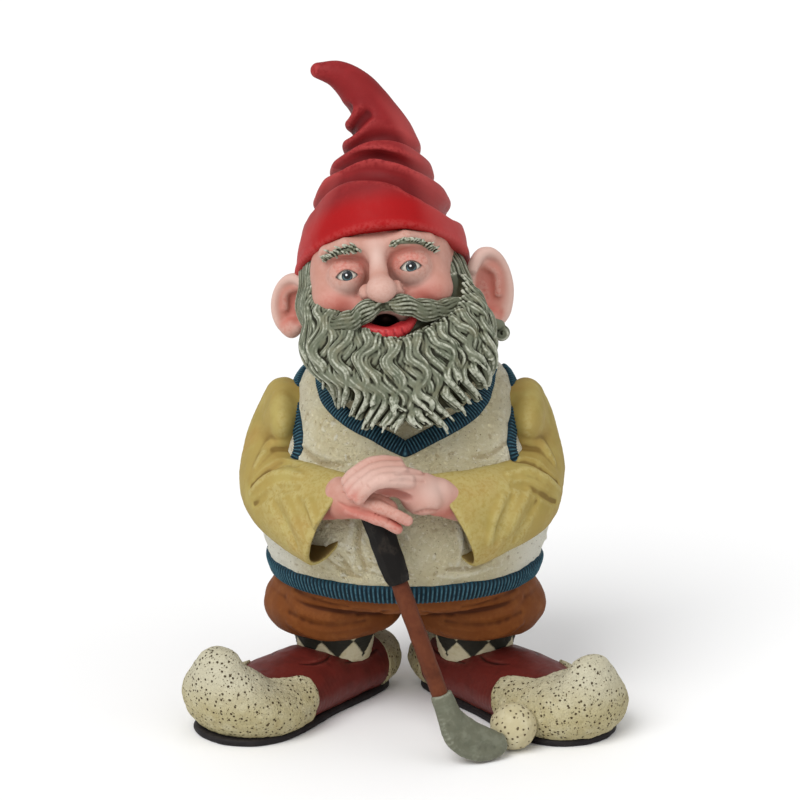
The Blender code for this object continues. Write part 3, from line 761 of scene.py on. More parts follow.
LOOKS = {
    # the paint of a look, and the slot of the part that it shows
    "hat": (hat_paint, "hat_red"),
    "skin": (skin_paint, "skin"),
    "hair": (hair_paint, "hair_grey"),
    "lip": (lip_paint, "lip_red"),
    "eye": (eye_paint, "eye_white"),
    "vest": (vest_paint, "knit_cream"),
    "teal": (teal_paint, "knit_teal"),
    "sleeve": (sleeve_paint, "sleeve_olive"),
    "trousers": (trouser_paint, "trouser_brown"),
    "sock": (sock_paint, "sock_cream"),
    "leather": (leather_paint, "shoe_red_brown"),
    "cap": (cap_paint, "shoe_cream"),
    "sole": (sole_paint, "sole_black"),
    "grip": (grip_paint, "grip_black"),
    "shaft": (shaft_paint, "shaft_brown"),
    "club": (club_paint, "club_grey"),
    "ball": (ball_paint, "ball_cream"),
}

# --- masks ---


def spots(*places):
    """A soft mask from (centre, radii) spots."""

    def mask(points):
        total = np.zeros(len(points))
        for centre, radii in places:
            total = np.maximum(total, np.exp(-(((points - centre) / radii) ** 2).sum(axis=1)))
        return total

    return mask


def even(value):
    """A mask with the same value everywhere."""
    return lambda points: np.full(len(points), float(value))


def step(value, low, high):
    """0 up to low, 1 from high on, smooth between."""
    part = np.clip((value - low) / (high - low), 0, 1)
    return part * part * (3 - 2 * part)


# --- the figure's measures, in mm ---

ARM_PLANE = np.array((0.85, -0.53, 0.3))  # across the plane that the left arm bends in
MIRROR = np.array((-1, 1, 1))
SHOE_SPLAY = math.radians(41)
LEG_X, HEEL_TO_ANKLE, SOLE_EDGE = 32.5, 29.0, 2.8
FACE_MIDDLE = np.array((-11.6, -36.0, 209.4))  # between the eyes
FACE_ROLL = math.radians(7.5)
EYE_SPREAD, EYE_RADIUS = 14.0, 7.5

TORSO = Stack(
    (
        (62, 0, -4, 59, 52),
        (75, 0, -5, 63, 56),
        (92, 0, -6, 66, 60),
        (112, 0, -5, 63, 57),
        (132, 0, -2, 56.5, 50.5),
        (145, 0, 0, 52, 43.5),
        (153, 0, 1, 47, 37),
        (158.5, 0, 2, 39.5, 29),
        (161.5, 0, 3, 29, 20),
    ),
    3.0,
)
HAIR = Stack(
    (
        (158, -2, 4, 30, 34),
        (170, -4, 2, 38, 42),
        (185, -7.5, 0, 39.5, 44),
        (196, -9, 1, 37.5, 43),
        (206, -10, 2, 35, 41),
        (216, -10.5, 5, 31, 37),
    )
)
BEARD_ROWS = (
    (138, 3, -57, 7, 9),
    (146, 2, -55, 22, 13.5),
    (158, 0, -47, 32.5, 18.5),
    (168, -2, -41, 39, 22),
    (179, -3, -35, 39.5, 22.5),
    (189, -4, -29, 37.5, 19.5),
    (196, -6, -25, 35, 17),
    (204, -8, -21, 33, 15),
)
BEARD = Stack(BEARD_ROWS)


def face(right, forward, up):
    """A place on the rolled head, from the middle between the eyes."""
    c, s = math.cos(FACE_ROLL), math.sin(FACE_ROLL)
    return FACE_MIDDLE + np.array((right * c - up * s, -forward, right * s + up * c))


def front_of(clay, places):
    """Places (x, z) seen from the front, dropped back onto the clay."""
    return landed(clay, [(x, -120.0, z) for x, z in places], (0, 1, 0))


def landed(clay, starts, towards):
    """Where rays from some starts first meet the clay, or 60 mm on where they miss it."""
    starts, towards = np.asarray(starts, float), unit(towards)
    far = np.arange(0, 160, 0.4)
    found = []
    for start in starts:
        values = clay.sample(clay.field, start + towards * far[:, None])
        inside = np.nonzero(values < 0)[0]
        reach = far[inside[0]] if len(inside) else 60.0
        found.append(start + towards * reach)
    return np.array(found)


def crease(clay, places, radius=1.2, depth=0.9, blend=1.0, towards=(0, 1, 0)):
    """A groove, or with a depth below 0 a ridge, that fades at both ends.

    Its places are (x, z) as seen from the front, or starts of rays that go towards the clay.
    """
    seen = len(places[0]) == 2
    line = front_of(clay, smooth(places, 5)) if seen else landed(clay, smooth(places, 5), towards)
    taper = np.sin(np.linspace(0.06, 0.94, len(line)) * math.pi) ** 0.5
    sunk = radius * taper - abs(depth) * taper**2
    line = line + unit(towards) * (sunk if depth < 0 else -sunk)[:, None]
    shape = clay.add if depth < 0 else clay.carve
    shape(strand(line, radius * taper), blend)


# --- head ---

EYES = {
    "left": face(EYE_SPREAD, -0.3, -2.2),
    "right": face(-EYE_SPREAD, -0.3, -2.6),
}
GAZE = unit((0.0, -1.0, 0.2))
EYE_ACROSS = unit((math.cos(FACE_ROLL), 0.0, math.sin(FACE_ROLL)))
LID_HALF_WIDTH, LID_RISE, LID_DROP = 4.6, 2.5, 1.9
LID_FOLD = ((-7, 2.4), (-3.5, 4.9), (1, 5.5), (6, 3.6))  # across and above the left eye
MOUTH = face(0.2, 15.0, -22.6)


def eye_opening(centre):
    """The almond between the lids, as a distance for points in front of the eye."""
    up = np.cross(EYE_ACROSS, -GAZE)
    up = up if up[2] > 0 else -up

    def distance(x, y, z):
        x, y, z = x - centre[0], y - centre[1], z - centre[2]
        across = x * EYE_ACROSS[0] + y * EYE_ACROSS[1] + z * EYE_ACROSS[2]
        high = x * up[0] + y * up[1] + z * up[2]
        ahead = x * GAZE[0] + y * GAZE[1] + z * GAZE[2]
        arch = 1 - (across / LID_HALF_WIDTH) ** 2
        above = high - LID_RISE * arch
        below = -LID_DROP * arch - high
        return np.maximum(np.maximum(above, below) * 0.8, -ahead)

    return centre - 9, centre + 9, distance


def shape_head():
    """The bare head: skull, forehead, cheeks, chin, sockets, nose, lids, mouth and the sockets' hollows."""
    clay = Clay((-50, -64, 168), (32, 22, 238), 0.45)
    clay.add([egg((-9.5, 0, 198), (33.5, 39, 44))])
    clay.add([egg(face(1, -19, 8), (24, 21.5, 14))], 8)
    for side in (-1, 1):
        clay.add([egg(face(19 * side, -4.5, -13), (12, 11, 10))], 7)
        clay.add([egg(face(22.5 * side, -14, -2), (8, 12, 12))], 6)
        brow = [face(5 * side, 2, 10), face(13 * side, 3, 11), face(22 * side, -4, 8)]
        clay.add(strand(brow, (3, 4, 3)), 5)
    clay.add([egg(face(0.5, 2, -20), (15, 12, 10))], 7)
    for side in (-1, 1):
        clay.carve([egg(face(13.5 * side, 7, -1.4), (8.5, 5.5, 6.2))], 5)
        clay.carve([egg(face(4.5 * side, 9, 1), (3, 5, 4))], 4)
    bridge = [face(0, 2, 9), face(0, 6, 2), face(0, 12, -3.5), face(0.3, 16, -6.5)]
    clay.add(strand(smooth(bridge), np.linspace(3.4, 4.8, 16)), 4)
    clay.add([egg(face(0.5, 17, -7), (6.6, 6.4, 5.8))], 2.5)
    for side in (-1, 1):
        clay.add([egg(face(6.3 * side + 0.5, 11.5, -8.6), (3.9, 5.2, 3.7))], 1.8)
        clay.carve([egg(face(3.9 * side + 0.5, 16.5, -12.2), (1.9, 3.2, 1.5))], 1)
        crease(clay, as_seen(face(9.8 * side, 0, -6), face(11 * side, 0, -10)), 1.2, 0.45, 1.6)
    for label, centre in EYES.items():
        side = 1 if label == "left" else -1
        clay.add([egg(centre, [EYE_RADIUS + 1.25] * 3)], 2.2)
        clay.carve([eye_opening(centre)], 0.5)
        lid = [centre + EYE_ACROSS * across + np.array((0, 0, high)) for across, high in LID_FOLD]
        crease(clay, as_seen(*(lid if side > 0 else mirrored_about(lid, centre))), 0.9, 0.4, 1.0)
    clay.carve([egg(MOUTH, (5.6, 12, 3.9))], 1.2)
    clay.keep(half_space(BRIM_CENTRE + 3.5 * brim_normal(), brim_normal()), 1.0)
    for centre in EYES.values():
        clay.carve([egg(centre, [EYE_RADIUS + 0.12] * 3)])
    return clay


def as_seen(*places):
    """Places as the (x, z) pairs that the front view has."""
    return [(place[0], place[2]) for place in places]


def mirrored_about(places, centre):
    """Places swapped to the other side of a centre, along the eyes' line."""
    return [place - 2 * EYE_ACROSS * np.dot(place - centre, EYE_ACROSS) for place in reversed(places)]


def lid_line(points):
    """Dark paint along the upper lids."""
    total = np.zeros(len(points))
    up = np.array((-math.sin(FACE_ROLL), 0.0, math.cos(FACE_ROLL)))
    for centre in EYES.values():
        x, y, z = points.T
        edge = eye_opening(centre)[2](x, y, z)
        high = (points - centre) @ up
        close = np.linalg.norm(points - centre, axis=1) < EYE_RADIUS + 2.6
        upper = np.exp(-((edge / 0.42) ** 2)) * step(high, -0.6, 0.8)
        lower = np.exp(-((edge / 0.3) ** 2)) * 0.4
        total = np.maximum(total, np.maximum(upper, lower) * close * (points[:, 1] < centre[1]))
    return total


def make_head():
    """The painted head, with all that sits on it apart from the hair."""
    clay = shape_head()
    blush = (
        # right, forward, up, then the spot's radii: cheeks, lids, inner corners, nostrils
        ((19, 6, -14.5), (9, 14, 6.5)),
        ((14, 5, 3.4), (8.5, 9, 3.4)),
        ((8, 5, 1.0), (2.6, 9, 5)),
        ((6.5, 14, -11.5), (3.2, 6, 2.2)),
    )
    blush = [(face(x * side, y, z), radii) for (x, y, z), radii in blush for side in (-1, 1)]
    # painted shade inside the open mouth
    deep = spots((MOUTH + np.array((0, 5, 0)), (8, 8.5, 5.5)))
    pale = (
        # nose, bridge, bags under the eyes
        ((0.5, 17, -6), (5.5, 7, 4.5)),
        ((0, 8, 6), (5, 6, 8)),
        ((14, 2, -7), (7, 8, 3)),
        ((-14, 2, -7), (7, 8, 3)),
    )
    masks = {
        "blush": spots(*blush),
        "pale": spots(*((face(*place), radii) for place, radii in pale)),
        "line": lid_line,
        "painted_shade": lambda points: step(deep(points), 0.25, 0.6),
    }
    cast("head", clay, "skin", ((0.12, 5), (0.04, 1.6)), masks)
    for label, centre in EYES.items():
        make_eye(label, centre)
    make_ears()
    make_brows(clay)
    make_lip()


def make_lip():
    """The full lower lip, with a few short creases across it."""
    lip = Clay((-26, -64, 170), (14, -34, 198), 0.35)
    line = ((-10, 13, -21.4), (-6.5, 15.6, -24.2), (0.6, 17.4, -26.6), (7.5, 15.8, -25.8), (12.2, 13, -22.6))
    line = [face(*place) for place in line]
    lip.add(strand(smooth(line), 1.6 + 1.4 * np.sin(np.linspace(0, math.pi, 21)) ** 0.7), 0.4)
    inner = [face(-7, 14, -23.5), face(0, 15.5, -25.6), face(7, 14, -24)]
    lip.add(strand(smooth(inner), [1.6] * 11), 1.0)
    for a in (-6, -3, 0, 3.5, 7):
        crease(lip, as_seen(face(a, 0, -24.5), face(a * 1.15, 0, -28.5)), 0.6, 0.12, 0.6)
    cast("lower_lip", lip, "lip")


def make_eye(label, centre):
    """An eyeball whose painted iris looks ahead: rings round the line of sight."""
    side = unit(np.cross(GAZE, (0, 0, 1)))
    up = np.cross(side, GAZE)
    polar = np.concatenate([np.linspace(0.002, 0.5, 60), np.linspace(0.53, math.pi - 0.002, 30)])
    around = np.linspace(0, 2 * math.pi, 64, endpoint=False)
    p, q = np.meshgrid(polar, around, indexing="ij")
    rings = np.stack([np.sin(p) * np.cos(q), np.sin(p) * np.sin(q), np.cos(p)], -1)
    right, high, ahead = (EYE_RADIUS * rings[..., k].ravel() for k in range(3))
    world = centre + EYE_RADIUS * (rings[..., :1] * side + rings[..., 1:2] * up + rings[..., 2:] * GAZE)
    out = np.hypot(right, high) * (ahead > 0) + 20 * (ahead <= 0)
    glint = np.hypot(right - 0.35, high - 0.45)
    masks = {
        "iris_edge": 1 - step(out, 2.3, 2.55),
        "iris": (1 - step(out, 1.9, 2.2)) * step(-high, -0.6, 1.0),
        "pupil": 1 - step(out, 1.35, 1.55),
        "glint": (1 - step(glint, 0.35, 0.55)) * (ahead > 0),
    }
    loft(f"eye_{label}", world, "eye", masks)


EARS = {
    # centre, half width, half height, lean sideways and turn outwards in degrees
    "left": ((37.5, 1, 192.5), 11.5, 18.8, -12, 32),
    "right": ((-50, 1, 185.0), 10.5, 14.2, 14, -32),
}


def make_ears():
    """Oval ears with a rolled rim, a hollow, an inner fold, a lobe and a small flap at the front."""
    for label, (centre, wide, high, lean, outward) in EARS.items():
        side = 1 if label == "left" else -1
        axes = turned(lean, "Y") @ turned(outward, "Z")
        centre = np.array(centre, float)

        def at(right, forward, up, axes=axes, centre=centre, side=side):
            """A place on the turned ear, from its middle."""
            return centre + right * side * axes[0] - forward * axes[1] + up * axes[2]

        reach = high + 6
        clay = Clay(centre - reach, centre + reach, 0.45)
        clay.add([egg(centre, (wide, 3.4, high), axes)])
        rim = []
        for turn in np.linspace(-2.2, 2.4, 15):
            c, s = math.cos(turn), math.sin(turn)
            rim.append(at((wide - 2.0) * c, 1.6, (high - 2.2) * s))
        clay.add(strand(smooth(rim, 2), [2.4] * 29), 1.6)
        clay.carve([egg(at(-1.5, 4.2, 0), (wide * 0.64, 5.0, high * 0.68), axes)], 1.6)
        clay.carve([egg(at(-3.5, 4, -2), (wide * 0.38, 6.2, high * 0.38), axes)], 1.2)
        fold = ((-1, 0.9, high * 0.62), (wide * 0.36, 1.6, high * 0.3), (wide * 0.3, 1.4, -high * 0.2))
        fold = [at(*place) for place in fold]
        clay.add(strand(smooth(fold), [1.5] * 11), 2.2)
        clay.add([egg(at(-wide * 0.2, 1.2, -high * 0.78), (4.2, 3.4, 4.4), axes)], 2)
        clay.add([egg(at(-wide * 0.82, 2.2, -high * 0.12), (2.4, 2.6, 3.6), axes)], 1.5)
        blush = spots((at(-1.5, 1, -1), (wide * 0.7, 6, high * 0.7)), (at(-2, 0, -high * 0.6), (6, 5, 6)))

        def pale(points, blush=blush):
            return 1 - step(blush(points), 0.05, 0.4)

        masks = {"blush": blush, "pale": pale, "line": even(0), "painted_shade": even(0)}
        cast(f"ear_{label}", clay, "skin", ((0.12, 4),), masks)


BROW_TUFTS = 34


def make_brows(head):
    """Bushy eyebrows: a low roll on the head's clay with short tufts that lean outwards."""
    lines = {
        "right": [(-35.5, 211.5), (-30, 216), (-24, 218.2), (-19.5, 217.5)],
        "left": [(-6.5, 219.5), (-1, 221.8), (6, 220.8), (12.5, 216)],
    }
    for label, line in lines.items():
        rng = np.random.default_rng(7 if label == "left" else 8)
        line = smooth(line, 6)
        low = (line[:, 0].min() - 4, -54, line[:, 1].min() - 5)
        high = (line[:, 0].max() + 4, -22, line[:, 1].max() + 6)
        clay = Clay(low, high, 0.3)
        base = front_of(head, line)
        size = 0.7 + 0.7 * np.sin(np.linspace(0.15, 3.0, len(base)))
        clay.add(strand(base + (0, 0.2, 0), size), 0.5)
        outward = -1 if label == "right" else 1
        for _ in range(BROW_TUFTS):
            near_root = base[min(int(rng.uniform(0, 1) * len(base)), len(base) - 1)]
            root = near_root + rng.normal(0, (0.3, 0.1, 0.8))
            lean = np.array((outward * rng.uniform(0.5, 1.0), -0.25, rng.uniform(0.1, 0.8)))
            tip = root + unit(lean) * rng.uniform(2.0, 3.4)
            middle = (root + tip) / 2 + np.array((0, -0.7, 0.3))
            clay.add(strand([root, middle, tip], (0.55, 0.5, 0.25)), 0.15)
        cast(f"eyebrow_{label}", clay, "hair", (), {"shade": even(0)})


# --- hair, beard and moustache ---

TIP_WIDTH = 0.45
LONG_LOCKS, TOP_LOCKS, HAIR_LOCKS = 27, 19, 33


def lock(
    clay, places, outs, cords=5, spacing=1.7, radius=1.05, wave=2.6, pitch=21.0, phase=0.0, lift=0.0,
    hook=3.0, seed=0, arch=1.3,
):
    """A lock of wavy cords along places on a form, with the form's outward directions.

    The cords sway by the wave over the pitch, stand out by the lift and the arch, draw together towards
    the end to TIP_WIDTH of their spacing, and end in a hook to one side.
    """
    rng = np.random.default_rng(seed)
    far = lengths_along(places)
    total = far[-1]
    steps = np.arange(0, total + 0.1, 1.3)
    places, outs = read_at(steps, far, places), read_at(steps, far, outs)
    along = np.gradient(places, axis=0)
    sides = np.cross(outs, along)
    sides /= np.linalg.norm(sides, axis=1, keepdims=True) + 1e-9
    t = steps / total
    sway = wave * step(t, 0.0, 0.35) * np.sin(2 * math.pi * steps / pitch + phase)
    end = np.clip((t - 0.78) / 0.22, 0, 1) ** 2
    for i in range(cords):
        place = i - (cords - 1) / 2
        rank = abs(place) / max((cords - 1) / 2, 1)
        offset = place * spacing * (1 - (1 - TIP_WIDTH) * np.clip(t, 0, 1) ** 2.5)
        wander = rng.uniform(-0.25, 0.25) * np.sin(2 * math.pi * steps / 9 + rng.uniform(0, 6))
        out = lift + arch * (1 - rank**2) + rng.uniform(-0.2, 0.2)
        out = out + 0.8 * np.cos(2 * math.pi * steps / pitch + phase) * step(t, 0.1, 0.4)
        out = out - 1.2 * step(0.12 - t, 0, 0.12)
        aside = offset + sway + wander + hook * end
        line = places + sides * aside[:, None] + outs * out[:, None]
        stop = len(line) - int(rng.integers(0, 3))
        size = radius * rng.uniform(0.85, 1.12) * (1 - 0.45 * t[:stop] ** 4)
        clay.add(strand(line[:stop], size), 0.3)


def lock_on(clay, form, start, end, bow=0.0, **look):
    """A lock over a form of level sections, between two (angle, height) places."""
    t = np.linspace(0, 1, 40)
    angle = start[0] + (end[0] - start[0]) * t + bow * np.sin(math.pi * t)
    height = start[1] + (end[1] - start[1]) * t
    lock(clay, form.point(angle, height), form.normal(angle, height), **look)


BEARD_EDGE = (
    # angle from the front in degrees, height where the locks end
    (-100, -75, -55, -32, -12, 6, 25, 40, 60, 85, 100),
    (157, 153, 153, 148, 145, 141.5, 144, 150.5, 157, 162, 165),
)


def make_beard():
    """Long S-shaped locks from the mouth and cheeks, a shorter row over them, and a curl by the left ear."""
    clay = Clay((-56, -76, 136), (52, 6, 208), 0.45)
    base = [(z + 0.2 * max(175 - z, 0), x, y, a - 2.5, b - 2) for z, x, y, a, b in BEARD_ROWS[1:]]
    clay.add([Stack(base).solid()])
    clay.carve([egg(MOUTH + np.array((0, 2, 0)), (11.5, 13, 7.5))], 2)
    clay.carve([egg(face(0, -22, 0), (29, 36, 17))], 3)
    rng = np.random.default_rng(3)
    for k, angle in enumerate(np.linspace(-102, 102, LONG_LOCKS)):
        share = abs(angle) / 100
        turn = 1 if angle > 4 else -1
        start = (angle * (0.45 + 0.5 * share), 181 + 20 * share**1.4)
        end = (angle * 1.02 + rng.uniform(-3, 3), np.interp(angle, *BEARD_EDGE) + rng.uniform(0, 2))
        hook = turn * rng.uniform(3, 6)
        beard_lock(clay, start, end, -4 * turn * share, 2.9, 3.2, 21, 0.045 * angle, hook, 0.2, 100 + k)
    for k, angle in enumerate(np.linspace(-92, 92, TOP_LOCKS)):
        share = abs(angle) / 100
        turn = -1 if k % 2 else 1
        start = (angle * (0.5 + 0.5 * share), 180 + 19 * share**1.3)
        end = (angle + rng.uniform(-5, 5), np.interp(angle, *BEARD_EDGE) + rng.uniform(6, 15))
        hook = turn * rng.uniform(3, 6)
        beard_lock(clay, start, end, 5 * turn, 2.6, 2.8, 18, 0.05 * angle + 1.6, hook, 1.6, 200 + k)
    add_curl(clay)
    cast("beard", clay, "hair", ((0.06, 1.2),), {"shade": even(0)})


def add_curl(clay):
    """The curl by the left ear: three cords side by side, wound inwards, on a short stalk."""
    middle, turns = np.array((43.0, -16.0, 175.5)), np.linspace(0, 3.6 * math.pi, 40)
    for shift, size in ((-1.6, 0.8), (0.2, 1.0), (2.0, 0.8)):
        spiral = [
            middle + size * (3.6 - 0.22 * t) * np.array((math.cos(t + 2), 0, math.sin(t + 2))) + (0, shift, 0)
            for t in turns
        ]
        clay.add(strand(spiral, 1.05), 0.3)
    clay.add([egg(middle + (0, 0.5, 0), (2.6, 2.2, 2.6))], 0.5)
    clay.add(strand(smooth([(34, -24, 182), (39, -20, 180.5), (42, -17, 179)]), 2.4), 1.0)


def beard_lock(clay, start, end, bow, core, wave, pitch, phase, hook, lift, seed):
    """A lock with a body of its own, and finer cords that follow it."""
    look = {"bow": bow, "wave": wave, "pitch": pitch, "phase": phase, "hook": hook, "seed": seed}
    body = {"cords": 1, "radius": core, "lift": lift - 0.75 * core, "arch": 0.0}
    cords = {"cords": 5, "radius": 0.85, "lift": lift, "arch": 0.5 * core, "spacing": 0.5 * core}
    lock_on(clay, BEARD, start, end, **body, **look)
    lock_on(clay, BEARD, start, end, **cords, **look)


def make_moustache():
    """Two drooping lobes, each a tapered roll covered with two layers of fine wavy cords."""
    clay = Clay((-50, -68, 174), (38, -16, 206), 0.4)
    lobes = {
        -1: [face(0.5, 17, -13.5), face(-6, 18, -14.5), face(-13, 15.5, -18.5), face(-19.5, 11.5, -21.5),
             face(-25.5, 5, -21), face(-30, -1.5, -17.5)],
        1: [face(0.5, 17, -13.5), face(7, 18, -14.2), face(14, 15, -17.8), face(21, 10.5, -20.5),
            face(27.5, 3.5, -21.5), face(33.5, -5, -21)],
    }
    rng = np.random.default_rng(12)
    for side, line in lobes.items():
        line = smooth(line, 6)
        along = unit_rows(np.gradient(line, axis=0))
        out = unit((0.25 * side, -1, 0.25))
        up = unit_rows(np.cross(along, out) * -side)
        t = np.linspace(0, 1, len(line))
        fat = 0.55 + 0.75 * np.sin(math.pi * np.clip(t * 0.9 + 0.08, 0, 1)) ** 0.8
        clay.add(strand(line, 2.9 * fat), 0.6)
        for row in range(2):
            for k in range(8):
                turn = (k - 3.5) / 3.5
                angle = turn * 1.45 + 0.5 * side * np.sin(t * 3 + row)
                ring = 3.15 * fat
                cord = line + up * (ring * np.sin(angle))[:, None] + out * (ring * np.cos(angle))[:, None]
                cord = cord + up * (0.55 * np.sin(2 * math.pi * t * 3.2 + k * 0.5 + row))[:, None]
                first = int(rng.integers(0, 5)) + 8 * row
                last = len(cord) - int(rng.integers(0, 4))
                clay.add(strand(cord[first:last], rng.uniform(0.62, 0.85)), 0.12)
    cast("moustache", clay, "hair", ((0.05, 1.2),), {"shade": even(1)})


def make_hair():
    """Hair round the sides and the back, in locks that come out from under the hat."""
    clay = Clay((-58, -36, 150), (44, 54, 226), 0.5)
    clay.add([HAIR.solid()])
    clay.carve([egg(face(0, -6, -4), (28, 40, 30))], 3)
    rng = np.random.default_rng(5)
    for k, angle in enumerate(np.linspace(58, 302, HAIR_LOCKS)):
        start = (angle, 210)
        end = (angle + rng.uniform(-5, 5), 160 + rng.uniform(-2, 5))
        lock_on(
            clay, HAIR, start, end, cords=5, spacing=1.7, wave=2.0, pitch=23, phase=0.04 * angle,
            hook=rng.uniform(-3, 3), seed=300 + k, lift=rng.uniform(-0.7, 0.1),
        )
    clay.keep(half_space(BRIM_CENTRE + 3 * brim_normal(), brim_normal()), 0.8)
    cast("hair", clay, "hair", ((0.06, 1.2),), {"shade": even(0)})


# --- hat ---

HAT = (
    # x, y, z, half depth and half width as `limb` takes them with side x
    (-9.5, 2, 172, 44, 37.5),
    (-9.5, 2, 190, 47, 38.8),
    (-10, 1.5, 206, 47.5, 38),
    (-10.5, 3, 220, 45.5, 32.5),
    (-10.5, 6.5, 233, 37, 25.5),
    (-10.3, 10.5, 245, 26, 20),
    (-11, 13, 257, 17, 15),
    (-15.2, 14, 270, 12, 11),
    (-21.5, 14, 280, 9, 8.6),
    (-29.5, 13, 286.5, 6.2, 6.2),
    (-38.5, 12, 288.5, 3.6, 3.6),
)
BRIM_CENTRE = np.array((-9.5, 0.0, 202.0))
BRIM_TILT, BRIM_ROLL = math.radians(32), math.radians(6.5)


def brim_normal():
    """The direction straight up out of the hat's brim."""
    tilted = np.array((0.0, math.sin(BRIM_TILT), math.cos(BRIM_TILT)))
    c, s = math.cos(-BRIM_ROLL), math.sin(-BRIM_ROLL)
    return np.array((tilted[0] * c + tilted[2] * s, tilted[1], -tilted[0] * s + tilted[2] * c))


def hat_point(angle, height, out=0.0):
    """Places on the hat at angles from the front in degrees, by the height of the section's middle."""
    rows = smooth(HAT, 9)
    along = unit_rows(np.gradient(rows[:, :3], axis=0))
    x, y, deep, wide = (np.interp(height, rows[:, 2], rows[:, k]) for k in (0, 1, 3, 4))
    along = unit_rows(read_at(height, rows[:, 2], along))
    across = unit_rows(np.array((1.0, 0, 0)) - along * along[:, :1])
    ahead = np.cross(across, along)
    turn = np.radians(angle)
    right, forward = (wide + out) * np.sin(turn), (deep + out) * np.cos(turn)
    return np.stack([x, y, height], -1) + across * right[:, None] + ahead * forward[:, None]


HAT_FOLDS = (
    # radius; rise of a ridge, or below 0 of a hollow; angles from the front in degrees; a height for each
    (
        5.0,
        -1.7,
        (-165, -90, -61, -37, -9, 17, 40, 67, 95, 160),
        (220, 226, 234, 237.5, 238, 236, 232, 227, 225, 220),
    ),
    (
        3.4,
        2.0,
        (-170, -90, -64, -32, -5, 18, 46, 85, 120, 170),
        (228, 233, 240, 243, 243, 240, 236.5, 233, 231, 228),
    ),
    (
        3.4,
        -1.3,
        (-150, -85, -38, -10, 14, 38, 75, 110, 150),
        (236, 239.5, 246, 247, 245, 242, 239.5, 238, 236),
    ),
    (3.4, 2.0, (-160, -90, -56, -25, 7, 33, 59, 90, 150), (241, 245, 249, 253, 254, 251, 247, 244, 241)),
    (3.4, -1.4, (-150, -88, -33, 2, 31, 59, 110), (247, 250.5, 258.5, 259.5, 257, 252.5, 249)),
    (3.2, 1.8, (-150, -90, -50, -15, 15), (253, 258, 263, 266, 265)),
    (2.6, -1.5, (-140, -90, -45, -10), (258, 263.5, 268, 270.5)),
    (2.8, 1.4, (-140, -90, -50, -15), (263, 268.5, 272.5, 274.5)),
    (2.4, -1.2, (-120, -90, -50), (268, 273.5, 276.5)),
    (1.8, -0.8, (22, 45, 62), (231, 229.5, 226)),
    (2.0, 1.0, (-60, -30, 5, 35), (229, 231, 230.5, 227)),
)


def shape_hat():
    """The hat: a bent cone with folds round it, cut off along the brim, with a rolled rim and a hollow."""
    clay = Clay((-58, -56, 158), (40, 68, 296), 0.7)
    clay.add(limb(HAT, (1, 0, 0), 7))
    for radius, rise, *places in HAT_FOLDS:
        angle, height = smooth(np.transpose(places), 8).T
        fade = np.sin(np.linspace(0.1, 0.9, len(angle)) * math.pi) ** 0.5
        swell = 1 + 0.7 * np.exp(-(((angle + 90) / 32) ** 2))
        if rise > 0:
            clay.add(strand(hat_point(angle, height, rise * swell - radius), radius * fade), 2.2)
        else:
            shown = 1 - 0.9 * step(np.abs(angle), 82, 120)
            out = radius * fade + rise * swell * shown * fade
            clay.carve(strand(hat_point(angle, height, out), radius * fade), 3.5)
    up = brim_normal()
    clay.keep(half_space(BRIM_CENTRE, -up), 1.6)
    heights = np.linspace(160, 242, 90)
    around = np.linspace(-180, 180, 73)
    edge = [np.interp(1.2, (hat_point(np.full(90, a), heights) - BRIM_CENTRE) @ up, heights) for a in around]
    clay.add(strand(hat_point(around, np.array(edge), -1.0), [1.9] * 73), 2.0)
    inside = [(x, y, z, a - 5, b - 5) for x, y, z, a, b in HAT[:2]]
    clay.carve(limb(inside, (1, 0, 0), 5), 0.5)
    return clay


def make_hat():
    """The hat, bright along the brim and paler down both sides, where a rim highlight is painted."""
    up = brim_normal()
    rows = smooth(HAT, 9)

    # paler down both sides, the right side more: a painted rim highlight
    def painted_highlight(points):
        middle, wide = (np.interp(points[:, 2], rows[:, 2], rows[:, k]) for k in (0, 4))
        right = step((points[:, 0] - middle) / wide, 0.55, 1.0)
        left = step((middle - points[:, 0]) / wide, 0.8, 1.05) * (points[:, 2] < 246)
        return 0.9 * np.maximum(right * (1 - step(points[:, 2], 262, 284)), left * 0.7)

    masks = {"bright": lambda points: 1 - step((points - BRIM_CENTRE) @ up, 9, 19), "painted_highlight": painted_highlight}
    cast("hat", shape_hat(), "hat", ((0.45, 12), (0.12, 5)), masks)


# --- knitted vest and its bands ---

NECK_LINE = (
    # angle from the front in degrees, height: a pointed V
    (0, 131.5),
    (10, 135.8),
    (20, 139.5),
    (30, 143),
    (40, 147.5),
    (50, 153),
    (62, 157),
    (85, 159),
    (115, 159.3),
    (150, 159),
    (180, 158.5),
)
ARMHOLE = (
    # angle from the front in degrees, height: down the front of the shoulder, under the arm and up the back
    (92, 153.5),
    (78, 148.5),
    (66, 141),
    (58, 133.5),
    (54, 126),
    (57, 118.5),
    (68, 113),
    (88, 111),
    (108, 114),
    (120, 122),
    (123, 134),
    (116, 146),
    (104, 152.5),
)
HEM_LOW, HEM_HIGH = 62.0, 72.0
RINGS_A_RIB = 7
KNIT_NICKS = 520


